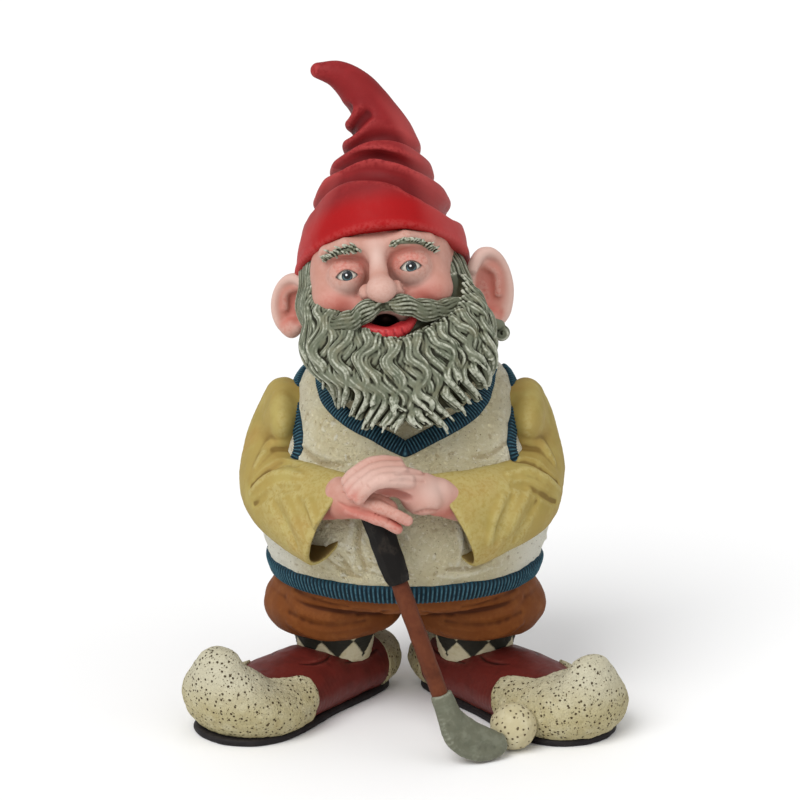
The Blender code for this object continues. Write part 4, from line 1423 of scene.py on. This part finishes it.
def make_vest():
    """The vest: a torso with soft wrinkles and some hundreds of short nicks and crumbs of knit."""
    clay = Clay((-70, -70, 60), (70, 60, 168), 0.8)
    clay.add([TORSO.solid()])
    wrinkles = (
        ((2.2, -0.9), ((-22, 104), (-24, 92), (-22, 80))),
        ((1.6, 0.9), ((-19.5, 102), (-20.5, 90), (-17, 78))),
        ((2.0, -0.8), ((22, 100), (24, 90), (22, 80))),
        ((1.6, 0.9), ((26, 98), (29, 88), (33, 80))),
        ((1.6, 0.8), ((-30, 86), (-26, 79), (-24, 75))),
        ((1.4, 0.7), ((-12, 84), (-4, 80), (2, 77))),
        ((1.6, -0.8), ((-14, 80), (-5, 76.5), (4, 75.5))),
        ((1.4, 0.7), ((-36, 83), (-28, 77), (-20, 74.5))),
        ((1.4, 0.7), ((18, 79), (28, 78), (38, 80))),
        ((1.8, -0.7), ((12, 77), (24, 75), (38, 77))),
        ((1.8, 0.8), ((-46, 128), (-38, 124), (-28, 124))),
        ((1.6, 0.7), ((46, 130), (38, 127), (30, 127))),
        ((1.8, -0.8), ((-48, 124), (-40, 120), (-34, 119))),
    )
    for (radius, depth), places in wrinkles:
        crease(clay, places, radius, depth, 1.5)
    rng = np.random.default_rng(21)
    for _ in range(KNIT_NICKS):
        angle, height = rng.uniform(-180, 180), rng.uniform(74, 156)
        start = TORSO.point(angle, height, 0.2)
        turn = rng.uniform(0, 2 * math.pi)
        ahead = TORSO.point(angle + 1.6 * math.cos(turn), height + 1.6 * math.sin(turn), 0.2)
        nick = strand([start, ahead], rng.uniform(0.5, 0.8))
        clay.carve(nick, 0.4) if rng.uniform() < 0.5 else clay.add(nick, 0.6)

    # paler at both sides and towards the back: a painted highlight
    def painted_highlight(points):
        return np.maximum(step(np.abs(points[:, 0]), 36, 60), step(points[:, 1], -20, 10))

    cast("vest", clay, "vest", ((0.4, 8), (0.25, 3)), {"painted_highlight": painted_highlight})


def knit_band(name, line, outs, width, pitch, proud=1.9, sink=1.6, edge_wave=0.0):
    """A ribbed band along a closed line on the vest: a flat oval section whose height follows the ribs."""
    line, outs = np.vstack([line, line[:1]]), np.vstack([outs, outs[:1]])
    far = lengths_along(line)
    count = int(round(far[-1] / pitch)) * RINGS_A_RIB
    at = np.linspace(0, far[-1], count, endpoint=False)
    line, outs = read_at(at, far, line), unit_rows(read_at(at, far, outs))
    sides = unit_rows(np.cross(np.roll(line, -4, 0) - np.roll(line, 4, 0), outs))
    sides = np.where((sides[:, 2:] < 0), -sides, sides) if edge_wave else sides
    phase = 2 * math.pi * np.arange(count) / RINGS_A_RIB + 0.5 * noise(line, 9, 4)
    rib = np.cos(phase)
    corners = np.linspace(0, 2 * math.pi, 18, endpoint=False)
    c = np.sign(np.cos(corners)) * np.abs(np.cos(corners)) ** 0.6
    s = np.sign(np.sin(corners)) * np.abs(np.sin(corners)) ** 0.7
    half = width / 2 + 0.3 * noise(line, 6, 9)
    reach = half[:, None] * c + edge_wave * noise(line, 22, 2)[:, None] * (c > 0.2)
    top = proud * (0.86 + 0.2 * rib + 0.1 * noise(line, 5, 3))[:, None] * np.clip(s, 0, 1)
    lift = top - sink * np.clip(-s, 0, 1)
    rings = line[:, None] + sides[:, None] * reach[..., None] + outs[:, None] * lift[..., None]
    shown = np.repeat(rib[:, None], len(corners), 1) * np.clip(s, 0, 1)
    fine = 0.2 * (1 - np.abs(c))[None] * np.ones((count, 1))
    masks = {"rib": shown.ravel(), "fine": fine.ravel()}
    loft(name, rings, "teal", masks, closed=True)


def make_bands():
    """The bands at the neck, round both armholes and at the hem."""
    half = smooth(NECK_LINE, 12)
    angle = np.concatenate([half[:, 0], -half[-2:0:-1, 0]])
    height = np.concatenate([half[:, 1], half[-2:0:-1, 1]])
    knit_band("neck_band", TORSO.point(angle, height), TORSO.normal(angle, height), 7.5, 1.45, 2.0)
    for label, side in (("left", 1), ("right", -1)):
        angle, z = smooth(ARMHOLE + ARMHOLE[:1], 10)[:-1].T
        line, outs = TORSO.point(angle, z), TORSO.normal(angle, z)
        if side < 0:
            line, outs = line * MIRROR, outs * MIRROR
        knit_band(f"armhole_band_{label}", line, outs, 5.6, 1.5, 1.5)
    angle = np.linspace(-180, 180, 240, endpoint=False)
    z = np.full(240, (HEM_LOW + HEM_HIGH) / 2)
    line, outs = TORSO.point(angle, z), TORSO.normal(angle, z)
    knit_band("hem_band", line, outs, HEM_HIGH - HEM_LOW, 1.95, 2.2, 2.0, 1.1)


# --- sleeves ---

UPPER_ARMS = {
    # x, y, z, half size in the arm's plane, half thickness across it, as for the gnome's left
    "left": (
        (52.5, -5, 143, 14, 7.5),
        (54.5, -7, 133, 18.5, 9.5),
        (57, -11, 120, 19, 11.5),
        (56.5, -20, 110, 18, 13.5),
    ),
    "right": (
        (53.5, -5, 143, 14, 7.5),
        (56, -7, 133, 18.5, 9.5),
        (59, -11, 120, 19, 12),
        (59.5, -20, 110, 18, 14),
    ),
}
FOREARMS = {
    "left": ((52, -37, 105.5, 18, 14), (36, -54, 103.5, 20, 12.5), (11, -70.5, 101, 23, 11)),
    "right": ((56, -33, 106, 18, 14), (46, -49, 104, 20, 12.5), (24, -74, 101.5, 23, 11)),
}
CUFF_WALL = 2.4
MOUTHS = {"left": (19, -66, 102), "right": (30.5, -68, 103)}


def make_sleeve(label, side):
    """A wide sleeve, made as the gnome's left one and mirrored for the right."""
    clay = Clay((6, -86, 74), (86, 26, 158), 0.6)
    path = UPPER_ARMS[label] + FOREARMS[label]
    steps, hollow_rows = 6, 13
    clay.add(limb(path, ARM_PLANE, steps))
    clay.add([egg((54.5, -6, 136), (9, 25, 15))], 4)
    clay.add([egg((56.5, -12, 112), (12, 16, 15))], 5)
    rows = smooth(path, steps)[-hollow_rows:]
    growth = step(np.arange(hollow_rows), -1, 4)[:, None]
    hollow = np.hstack([rows[:, :3], (rows[:, 3:] - CUFF_WALL) * (0.45 + 0.55 * growth)])
    ahead = unit(np.subtract(path[-1][:3], path[-2][:3]))
    opening = unit(ahead + np.array((0, 0, -0.36)))
    folds = (
        # (radius, depth), places from the front
        ((2.2, 1.3), ((68, 111), (62, 118), (55, 122.5), (47, 123))),
        ((2.4, -1.1), ((68, 108), (62, 114.5), (54, 119), (45, 120))),
        ((2.0, 1.1), ((67, 104), (61, 110), (54, 114.5), (47, 116.5))),
        ((2.6, -0.9), ((66, 118), (60, 125), (54, 128))),
        ((2.2, -0.8), ((54, 112), (48, 104), (44, 96))),
        ((1.8, 0.8), ((58, 108), (52, 99), (48, 92))),
        ((2.2, -0.8), ((42, 112), (38, 103), (36, 94))),
        ((1.8, 0.7), ((47, 112), (42, 102), (40, 93))),
    )
    for (radius, depth), places in folds:
        crease(clay, places, radius, depth, 2.0)
        back = [(x, 90.0, z - 1) for x, z in places[:3]]
        crease(clay, back, radius, depth * 0.8, 2.0, towards=(0, -1, 0))
    clay.carve([slab(a[:3], b[:3], a[3:5], b[3:5], ARM_PLANE) for a, b in zip(hollow, hollow[1:])], 0.6)
    clay.keep(half_space(MOUTHS[label], opening), 0.8)
    points, faces, masks = surface_of(clay, 2.0, 5.0)
    # painted shade on the inside of the sleeve, near its hollow
    inner = limb([(*row[:3], row[3] - 0.2, row[4] - 0.2) for row in hollow[3:]], ARM_PLANE, 1)
    near = np.full(len(points), FAR)
    for _, _, distance in inner:
        near = np.minimum(near, distance(*points.T))
    masks["painted_shade"] = 1 - step(near, 0.5, 1.1)
    lift = 0.35 * noise(points, 9, 1 + side) + 0.15 * noise(points, 3.5, 5 + side)
    points = points + normals_of(points, faces) * lift[:, None]
    if side < 0:
        points, faces = points * MIRROR, faces[:, ::-1]
    name = f"sleeve_{label}"
    add_mesh(name, points, faces, "sleeve", masks)


# --- hands ---

FINGERS_OVER = (
    # a finger's places from the knuckle to the tip
    ((-4, -73, 130.5), (-10, -75, 131.8), (-17, -77, 130.6), (-22, -78.5, 127.6), (-25, -79, 124.6)),
    ((-3, -77, 129.6), (-10, -79.5, 130.2), (-16, -81, 128.6), (-21, -82, 125.6), (-24, -82.5, 122.4)),
    ((-1.5, -80.5, 128), (-9, -83.5, 128.8), (-15, -85, 126.8), (-19.5, -85.4, 123.8), (-22.6, -85, 120.2)),
    (
        (1, -82.5, 125.4),
        (-6, -86.5, 127.2),
        (-12, -87.6, 126.4),
        (-16.8, -87.4, 122.8),
        (-19.6, -86.6, 118.8),
    ),
)
KNUCKLES_OVER, TIP_OVER = (3.3, 3.4, 3.4, 3.5), 2.6
FINGERS_UNDER = (
    ((-22, -79, 116.6), (-16, -82.5, 115.6), (-9, -85.2, 113.8), (-3.5, -86, 111.4), (0.8, -85.4, 108.8)),
    ((-24, -77.5, 112), (-17, -81.5, 110.8), (-10.5, -83.8, 108.8), (-6.5, -84.4, 106.8), (-3.4, -84, 104.8)),
)
KNUCKLES_UNDER, TIP_UNDER = (3.2, 3.2), 2.4
WRIST_OVER = (
    (50, -43, 104, 5.5, 6),
    (38, -53.5, 105, 5.8, 6.4),
    (26, -62, 108.5, 6, 7.2),
    (14, -69.5, 114.8, 6.2, 8),
)
BACK_OVER = (
    (14, -69.5, 114.8, 6.4, 7.8),
    (7, -74, 118.6, 6.6, 8.2),
    (1, -77.5, 122.6, 6.4, 7.4),
    (-3, -79, 125.6, 5.6, 5.6),
)
WRIST_UNDER = (
    (-50, -43, 104, 5.5, 6),
    (-42, -51, 106, 5.8, 6.6),
    (-34.5, -59.5, 109.5, 6.2, 7.8),
    (-28, -68, 113.6, 6.4, 8.6),
)
BACK_UNDER = (
    (-28, -69, 114.4, 6.6, 9),
    (-22, -75, 115, 6.6, 8.2),
    (-15, -78.5, 114.2, 6, 6.8),
    (-8, -80, 112, 5, 5),
)


def finger(clay, line, first, last):
    """A bent finger, from one radius at the knuckle to another at the tip, with a fuller, creased joint."""
    line = smooth(line, 5)
    t = np.linspace(0, 1, len(line))
    joint, waist = np.exp(-(((t - 0.42) / 0.08) ** 2)), np.exp(-(((t - 0.65) / 0.1) ** 2))
    size = first + (last - first) * t + 0.25 * joint - 0.15 * waist
    clay.add(strand(line, size), 0.8)
    for place in (0.4, 0.46, 0.74):
        k = int(place * (len(line) - 1))
        out = unit((0, -0.8, 0.6))
        along = unit(line[min(k + 1, len(line) - 1)] - line[k - 1])
        across = unit(np.cross(along, out))
        middle = line[k] + out * (size[k] + 0.15)
        clay.carve(strand([middle - across * 1.3, middle + across * 1.3], 0.36), 0.5)


def make_hand(label, clay, wrist, back, back_side, pads, fingers, creases, blush, pale, dents=()):
    """A hand laid over the club's end, from its wrist to its fingertips."""
    clay.add(limb(wrist, (0, 0, 1), 4))
    clay.add(limb(back, back_side, 4), 2)
    for pad, blend in pads:
        clay.add([pad], blend)
    for line, first, last in fingers:
        finger(clay, line, first, last)
    for radius, depth, blend, places in creases:
        crease(clay, places, radius, depth, blend)
    for dent, blend in dents:
        clay.carve([dent], blend)
    masks = {"blush": spots(*blush), "pale": spots(*pale), "line": even(0), "painted_shade": even(0)}
    cast(f"hand_{label}", clay, "skin", ((0.15, 5),), masks)


def make_hands():
    """The left hand lies over the right one."""
    make_hand(
        "left",
        Clay((-34, -96, 96), (62, -40, 140), 0.4),
        WRIST_OVER,
        BACK_OVER,
        back_side=(-0.35, 0, 1),
        pads=((egg((7, -77, 115), (8, 5.5, 6)), 3), (egg((-8, -78, 122), (9, 5, 5)), 2)),
        fingers=[(line, first, TIP_OVER) for line, first in zip(FINGERS_OVER, KNUCKLES_OVER)],
        creases=(
            (1.0, 0.35, 1.0, [(-6, 127.6), (1, 127), (8, 124.5)]),
            (1.0, 0.3, 1.0, [(-4, 130), (3, 129), (9, 126.5)]),
            (1.0, 0.4, 1.0, [(4, 110.5), (9, 112), (14, 111)]),
        ),
        blush=(((-5, -84, 119), (10, 8, 4)), ((14, -70, 108.5), (10, 8, 4)), ((-22, -84, 120), (5, 6, 4))),
        pale=(((-8, -84, 127), (20, 12, 6)), ((10, -76, 120), (12, 10, 6))),
        dents=((egg((-5.5, -84, 119.6), (8.5, 5, 2.6), turned(12, "Y")), 1.6),),
    )
    make_hand(
        "right",
        Clay((-62, -96, 94), (10, -40, 128), 0.4),
        WRIST_UNDER,
        BACK_UNDER,
        back_side=(0, 0, 1),
        pads=(),
        fingers=[(line, first, TIP_UNDER) for line, first in zip(FINGERS_UNDER, KNUCKLES_UNDER)],
        creases=(
            (0.9, 0.35, 0.8, [(-27, 119.5), (-22, 121), (-16, 121)]),
            (0.9, 0.3, 0.8, [(-29, 115), (-24, 113.5), (-20, 114)]),
        ),
        blush=(((-20, -82, 110), (16, 9, 5)), ((-30, -66, 107), (8, 9, 5)), ((-3, -85, 107), (5, 5, 4))),
        pale=(),
    )


# --- club and ball ---

CLUB_TOP, CLUB_HOSEL = np.array((-17.0, -73.0, 118.0)), np.array((15.5, -85.0, 29.0))
GRIP_LENGTH, GRIP_RADIUS, GRIP_END_RADIUS, SHAFT_RADIUS = 42.0, 6.0, 5.0, 3.8
CLUB_HEAD = (
    # x, y, z, half thickness, half height, from the hosel to the toe
    (15.2, -84.8, 31, 4.3, 4.5),
    (18.5, -87, 23, 4.4, 5.6),
    (23.5, -88, 14, 4.2, 8.2),
    (31.5, -86.8, 8.8, 3.6, 8.2),
    (38.5, -84.2, 7.2, 2.8, 6.4),
    (42.5, -82.5, 7.4, 1.8, 4.2),
)


def tube(name, start, along, stations, sides, sharp, wobble, look):
    """A turned rod from (distance, radius) stations, with flats if it has few sides."""
    along = unit(along)
    right = unit(np.cross(along, (0, 0, 1)))
    up = np.cross(right, along)
    rows = np.array(stations, float)
    far = np.linspace(rows[0, 0], rows[-1, 0], max(int((rows[-1, 0] - rows[0, 0]) / 0.6), 8))
    far = np.unique(np.concatenate([far, rows[:, 0]]))
    size = np.interp(far, rows[:, 0], rows[:, 1])
    around = np.linspace(0, 2 * math.pi, 48, endpoint=False)
    flat = np.cos(math.pi / sides) / np.cos((around % (2 * math.pi / sides)) - math.pi / sides)
    shape = 1 + sharp * (flat - flat.mean())
    ring = size[:, None] * shape[None]
    points = start + along * far[:, None, None]
    points = points + ring[..., None] * (np.cos(around)[:, None] * right + np.sin(around)[:, None] * up)
    flatly = points.reshape(-1, 3)
    outs = flatly - (start + np.outer((flatly - start) @ along, along))
    outs /= np.linalg.norm(outs, axis=1, keepdims=True) + 1e-9
    bumps = wobble * noise(flatly, 4.5, 11)
    flatly = flatly + outs * bumps[:, None]
    fine = 0.6 * bumps + 0.1 * sharp * np.tile((flat - flat.min()) / (np.ptp(flat) + 1e-9), len(far))
    loft(name, flatly.reshape(points.shape), look, {"fine": fine, "broad": 0 * fine})


def make_club():
    """The club's grip, shaft and head, and the ball that it stands against."""
    down = CLUB_HOSEL - CLUB_TOP
    length = np.linalg.norm(down)
    grip = (
        # distance down the club, radius
        (0, 3.5),
        (0.8, 5.6),
        (2, GRIP_RADIUS),
        (32, GRIP_RADIUS),
        (38.5, GRIP_END_RADIUS + 0.6),
        (40.8, GRIP_END_RADIUS),
        (GRIP_LENGTH, 4.6),
    )
    tube("club_grip", CLUB_TOP, down, grip, 8, 0.8, 0.3, "grip")
    shaft = (
        (GRIP_LENGTH - 1, SHAFT_RADIUS - 0.2),
        (GRIP_LENGTH + 8, SHAFT_RADIUS + 0.1),
        (length, SHAFT_RADIUS - 0.1),
    )
    tube("club_shaft", CLUB_TOP, down, shaft, 10, 0.5, 0.16, "shaft")
    clay = Clay((6, -100, -2), (50, -68, 38), 0.4)
    clay.add(limb(CLUB_HEAD, (0, 0.5, 1), 6))
    clay.keep(half_space(CLUB_HOSEL + unit(down) * -1.5, -unit(down)), 0.6)
    clay.keep(half_space((0, 0, 0.9), (0, 0, -1)), 0.5)
    crease(clay, [(19, 19), (25, 11.5), (33, 7.5), (39, 7)], 2.2, 0.8, 2.0)
    cast("club_head", clay, "club", ((0.25, 4), (0.1, 1.8)))
    ball = Clay((34, -86, -2), (62, -58, 24), 0.45)
    ball.add([egg((47.5, -71.5, 10.6), [10.3] * 3)])
    cast("golf_ball", ball, "ball", ((0.3, 4), (0.2, 1.8)))


# --- legs and shoes ---

LEG = (
    # height, then x and y from the middle of the leg, half width, half depth
    (34.5, 0, 0, 23, 23),
    (37, 0, 0, 28, 29),
    (42, 0, 0, 31.5, 33.5),
    (48, 0, 0, 32.3, 35.5),
    (54.2, 0, 0, 29.5, 34),
    (58.7, 0, 0, 25, 30),
)
PELVIS = Stack(
    (
        (48.5, 0, -3, 30, 22),
        (51.5, 0, -3, 47, 36),
        (56, 0, -3, 58.5, 48),
        (61.3, 0, -4, 58, 50),
        (64, 0, -4, 57, 49),
    ),
    1,
    1,
)
SHOE = (
    # forward from the heel, sideways, height, half height, half width
    (4, 0, 13, 13, 15),
    (13, 0, 13, 14.5, 18.5),
    (29, 0, 12.5, 13.5, 20.5),
    (48, 0, 12.5, 15.5, 21.5),
    (64, 0, 12, 14.5, 24),
    (80, 0, 11, 13.5, 27),
    (91, 0, 12.5, 14.5, 26.5),
    (100, 0, 18.5, 14.5, 22.5),
    (104, 0, 27, 10.5, 15),
    (104.5, 0, 34, 7.5, 10),
)
TIP_DROP = {"left": 4.0, "right": 0.0}
SOLE_OUTLINE = (
    # forward from the heel, sideways
    (0, 0),
    (2, 8.5),
    (9, 14.5),
    (29, 17.5),
    (50, 19.5),
    (72, 23.6),
    (90, 24.6),
    (103, 18.5),
    (109.5, 8.5),
    (111, 0),
)
SOLE_PROFILE = (
    # height, how far inside the outline, share of the side's waviness, share of pale dry brush and painted
    # highlight on the rim
    (0.0, 3.0, 0, 0),
    (0.0, 1.0, 0, 0),
    (0.4, 0.3, 1, 0.2),
    (1.0, 0.0, 1, 0),
    (2.2, 0.05, 1, 0),
    (2.8, 0.5, 1, 0.6),
    (3.2, 1.6, 0.5, 0.6),
    (3.2, 4.0, 0, 0),
)
TROUSER_FOLDS = (
    # (radius, depth), places from the front on the left leg
    ((3.2, -0.8), ((52, 44), (42, 40.5), (30, 39.5), (18, 41))),
    ((3.0, 0.8), ((53, 49), (43, 45.5), (32, 44.5), (18, 46))),
    ((3.2, -0.7), ((52, 55), (44, 51), (34, 50), (24, 51))),
    ((2.6, 0.7), ((50, 60), (42, 57), (34, 56), (26, 57))),
    ((2.4, 0.8), ((8, 56), (14, 52), (20, 50))),
)


def make_trousers():
    """Two baggy legs and the seat, with gathers in front and behind."""
    clay = Clay((-70, -62, 32), (70, 62, 68), 0.7)
    for side in (-1, 1):
        rows = [(z, x + LEG_X * side, y + ANKLE_Y, a, b) for z, x, y, a, b in LEG]
        clay.add([Stack(rows, 2, 3).solid()], 3)
    clay.add([PELVIS.solid()], 5)
    for side in (-1, 1):
        for (radius, depth), places in TROUSER_FOLDS:
            crease(clay, [(x * side, z) for x, z in places], radius, depth, 1.8)
            crease(clay, [(x * side, 110.0, z) for x, z in places], radius, depth, 1.8, towards=(0, -1, 0))
    cast("trousers", clay, "trousers", ((0.55, 9), (0.15, 4)))


def make_sock(label, side):
    """A thick sock with a row of painted diamonds and small ones between their lower ends."""
    rows = smooth(((12, 16), (19, 16.5), (26, 17.8), (34, 19.6), (43, 20)), 14)
    turn = np.linspace(0, 2 * math.pi, 260, endpoint=False)
    z, a = np.meshgrid(rows[:, 0], turn, indexing="ij")
    size = rows[:, 1][:, None] + 0.105 * np.cos(4 * z)
    points = np.stack([LEG_X * side + size * np.sin(a), ANKLE_Y - size * np.cos(a), z], -1)
    flat = points.reshape(-1, 3)
    outs = np.stack([np.sin(a), -np.cos(a), 0 * a], -1).reshape(-1, 3)
    flat = flat + outs * 0.25 * noise(flat, 2.2, 31)[:, None]
    columns, half_high, row_z = 8, 7.6, 31.5
    u = (a / (2 * math.pi) * columns + 0.5 + 0.12 * side) % 1 - 0.5
    ragged = 0.07 * noise(flat, 2.5, 8).reshape(a.shape)
    big = 1.04 - np.abs(u) * 2 - np.abs(z - row_z) / half_high + ragged
    small = 0.2 - np.abs(u) * 2 - np.abs(z - (row_z - half_high - 0.6)) / half_high + ragged
    masks = {"diamond": np.maximum(step(big, -0.03, 0.05), step(small, -0.03, 0.04)).ravel()}
    name = f"sock_{label}"
    loft(name, flat.reshape(points.shape), "sock", masks)


def shoe_place(points, side):
    """Carries points from a shoe made along +x, heel at the origin, to the figure's frame."""
    forward = np.array((math.sin(SHOE_SPLAY) * side, -math.cos(SHOE_SPLAY), 0.0))
    across = np.cross((0, 0, 1), forward)
    heel = np.array((LEG_X * side, ANKLE_Y, 0.0)) - forward * HEEL_TO_ANKLE
    return heel + points @ np.array((forward, across, (0, 0, 1)))


def toe_region(grow=0.0):
    """Below 0 in the toe cap: past the saddle, and in a round wing that reaches back along each side."""

    def distance(x, y, z):
        wing, slope = 17 * step(np.abs(y), 7, 19), 0.4 * np.clip(17 - z, 0, 20) + 0.5 * np.clip(z - 22, 0, 3)
        return 0.75 * (83 - wing + slope - grow - x)

    return None, None, distance


def inverse(part):
    """All that a part leaves out."""
    return part[0], part[1], lambda x, y, z: -part[2](x, y, z)


def make_shoe(label, side):
    """A shoe in four pieces that are cut from one form: upper, heel cap, toe cap and sole."""

    def body(grow):
        """The whole shoe above its sole, grown by this many mm."""
        clay = Clay((-4, -32, 3), (117, 32, 46), 0.55)
        drop = TIP_DROP[label]
        rows = [(x, y, z - drop * step(x, 88, 102), a + grow, b + grow) for x, y, z, a, b in SHOE]
        clay.add(limb(rows, (0, 1, 0), 6))
        clay.keep(half_space((0, 0, SOLE_EDGE + 0.1), (0, 0, -1)), 0.8)
        return clay

    def placed(name, clay, look, rough, masks=None):
        """Turns clay that is shaped along +x into a piece under the gnome."""
        points, faces, found = surface_of(clay, 1.4, 4.0, masks)
        lift = sum(height * noise(points, size, 40 + side + k) for k, (height, size) in enumerate(rough))
        points = points + normals_of(points, faces) * lift[:, None]
        add_mesh(name, shoe_place(points, side), faces, look, found)

    upper = body(0.0)
    upper.keep(inverse(toe_region(-1.5)), 0.6)
    upper.keep(inverse(half_space((11, 0, 0), (1, 0, 0.06))), 0.4)
    upper.carve([egg((HEEL_TO_ANKLE - 1, 0, 29), (20, 17.5, 6.5))], 1.5)
    for y in (-1, 1):
        seam = [(44, y * 11, 60), (50, y * 13, 60), (57, y * 12, 60), (62, y * 9, 60)]
        crease(upper, seam, 0.8, 0.3, 0.8, towards=(0, 0, -1))
        collar = [(16, y * 60, 22), (28, y * 60, 21), (40, y * 60, 22)]
        crease(upper, collar, 0.9, 0.5, 0.6, towards=(0, -y, 0))
    placed(f"shoe_upper_{label}", upper, "leather", ((0.25, 8), (0.12, 3)))
    heel = body(0.5)
    heel.keep(half_space((12.5, 0, 0), (1, 0, 0.06)), 0.6)
    heel.carve([egg((HEEL_TO_ANKLE, 0, 30), (19.5, 17.5, 6))], 1.0)
    # the caps grow paler towards their tops: a painted highlight
    painted_highlight = {"painted_highlight": lambda points: step(points[:, 2], 14, 34)}
    placed(f"heel_cap_{label}", heel, "cap", ((0.25, 4), (0.15, 1.8)), painted_highlight)
    toe = body(1.3)
    toe.keep(toe_region(), 0.7)
    placed(f"toe_cap_{label}", toe, "cap", ((0.4, 5), (0.2, 1.8)), painted_highlight)
    make_sole(label, side)


def make_sole(label, side):
    """A thin sole: the outline at a few heights, drawn in at the top and the bottom."""
    half = smooth(SOLE_OUTLINE, 10)
    outline = np.vstack([half, half[-2:0:-1] * (1, -1)])
    along = np.roll(outline, -1, 0) - np.roll(outline, 1, 0)
    outs = unit_rows(np.stack([along[:, 1], -along[:, 0]], -1))
    outs *= -1 if (outs[5] @ (outline[5] - (56, 0))) < 0 else 1
    count = len(outline)
    rings = [np.column_stack([outline - outs * row[1], np.full(count, row[0])]) for row in SOLE_PROFILE]
    rings = np.array(rings)
    flat = rings.reshape(-1, 3)
    wavy, pale = (np.repeat([row[k] for row in SOLE_PROFILE], count) for k in (2, 3))
    level_outs = np.tile(np.column_stack([outs, np.zeros(count)]), (len(SOLE_PROFILE), 1))
    flat = flat + level_outs * (0.22 * wavy * noise(flat, 5, 50 + side))[:, None]
    ridge = 0.16 * pale
    world = shoe_place(flat, side).reshape(rings.shape)
    name = f"sole_{label}"
    loft(name, world, "sole", {"fine": ridge, "broad": 0 * ridge})


# --- the whole figure and its studio ---

CAMERA_TARGET = (-2.3, -10, 143)  # mm, in the figure's frame
CAMERA_DISTANCE, CAMERA_LIFT = 1.2, math.radians(14)  # m, and above level
LENS, SENSOR_WIDTH = 120.0, 36.0  # mm
FLOOR_SIZE = 30  # m
SKY_STRENGTH = 0.58
SUNS = (
    # name, where it shines from, how soft in degrees, strength
    ("key light", (-0.7, -1.0, 1.3), 40, 2.1),
    ("fill light", (0.9, -0.8, 1.0), 60, 0.4),
)


def make_studio():
    """A pale floor under a bright soft sky, and a camera that looks a little down at the figure."""
    bpy.ops.mesh.primitive_plane_add(size=FLOOR_SIZE, location=(0, 0, 0))
    floor = bpy.context.object
    floor.name = "floor"
    floor_paint = Paint("floor paint", (0.93, 0.93, 0.93, 1.0), 0.8, 0.1)
    floor.data.materials.append(floor_paint.done(0.02, 3.0))
    world = bpy.data.worlds.new("studio")
    world.use_nodes = True
    world.node_tree.nodes["Background"].inputs["Color"].default_value = (1.0, 1.0, 1.0, 1.0)
    world.node_tree.nodes["Background"].inputs["Strength"].default_value = SKY_STRENGTH
    bpy.context.scene.world = world
    bpy.context.scene.view_settings.view_transform = "Standard"
    for name, place, spread, power in SUNS:
        light = bpy.data.lights.new(name, "SUN")
        light.angle, light.energy = math.radians(spread), power
        lamp = bpy.data.objects.new(name, light)
        lamp.location = place
        lamp.rotation_euler = (-Vector(place)).to_track_quat("-Z", "Y").to_euler()
        bpy.context.scene.collection.objects.link(lamp)
    camera = bpy.data.cameras.new("camera")
    camera.lens, camera.sensor_width = LENS, SENSOR_WIDTH
    eye = bpy.data.objects.new("camera", camera)
    target = Vector((np.array(CAMERA_TARGET) + SHIFT) * MM)
    eye.location = target + CAMERA_DISTANCE * Vector((0, -math.cos(CAMERA_LIFT), math.sin(CAMERA_LIFT)))
    eye.rotation_euler = (target - eye.location).to_track_quat("-Z", "Y").to_euler()
    bpy.context.scene.collection.objects.link(eye)
    bpy.context.scene.camera = eye


def main():
    """Makes every piece, gives the pins and the wire their steel, and sets up the studio."""
    make_head()
    make_beard()
    make_moustache()
    make_hair()
    make_hat()
    make_vest()
    make_bands()
    make_hands()
    make_club()
    make_trousers()
    for label, side in (("left", 1), ("right", -1)):
        make_sleeve(label, side)
        make_sock(label, side)
        make_shoe(label, side)
    steel = steel_paint()
    for name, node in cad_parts.items():
        if "pin" in name or "wire" in name:
            for slot in node.material_slots:
                slot.material = steel
    make_studio()


main()
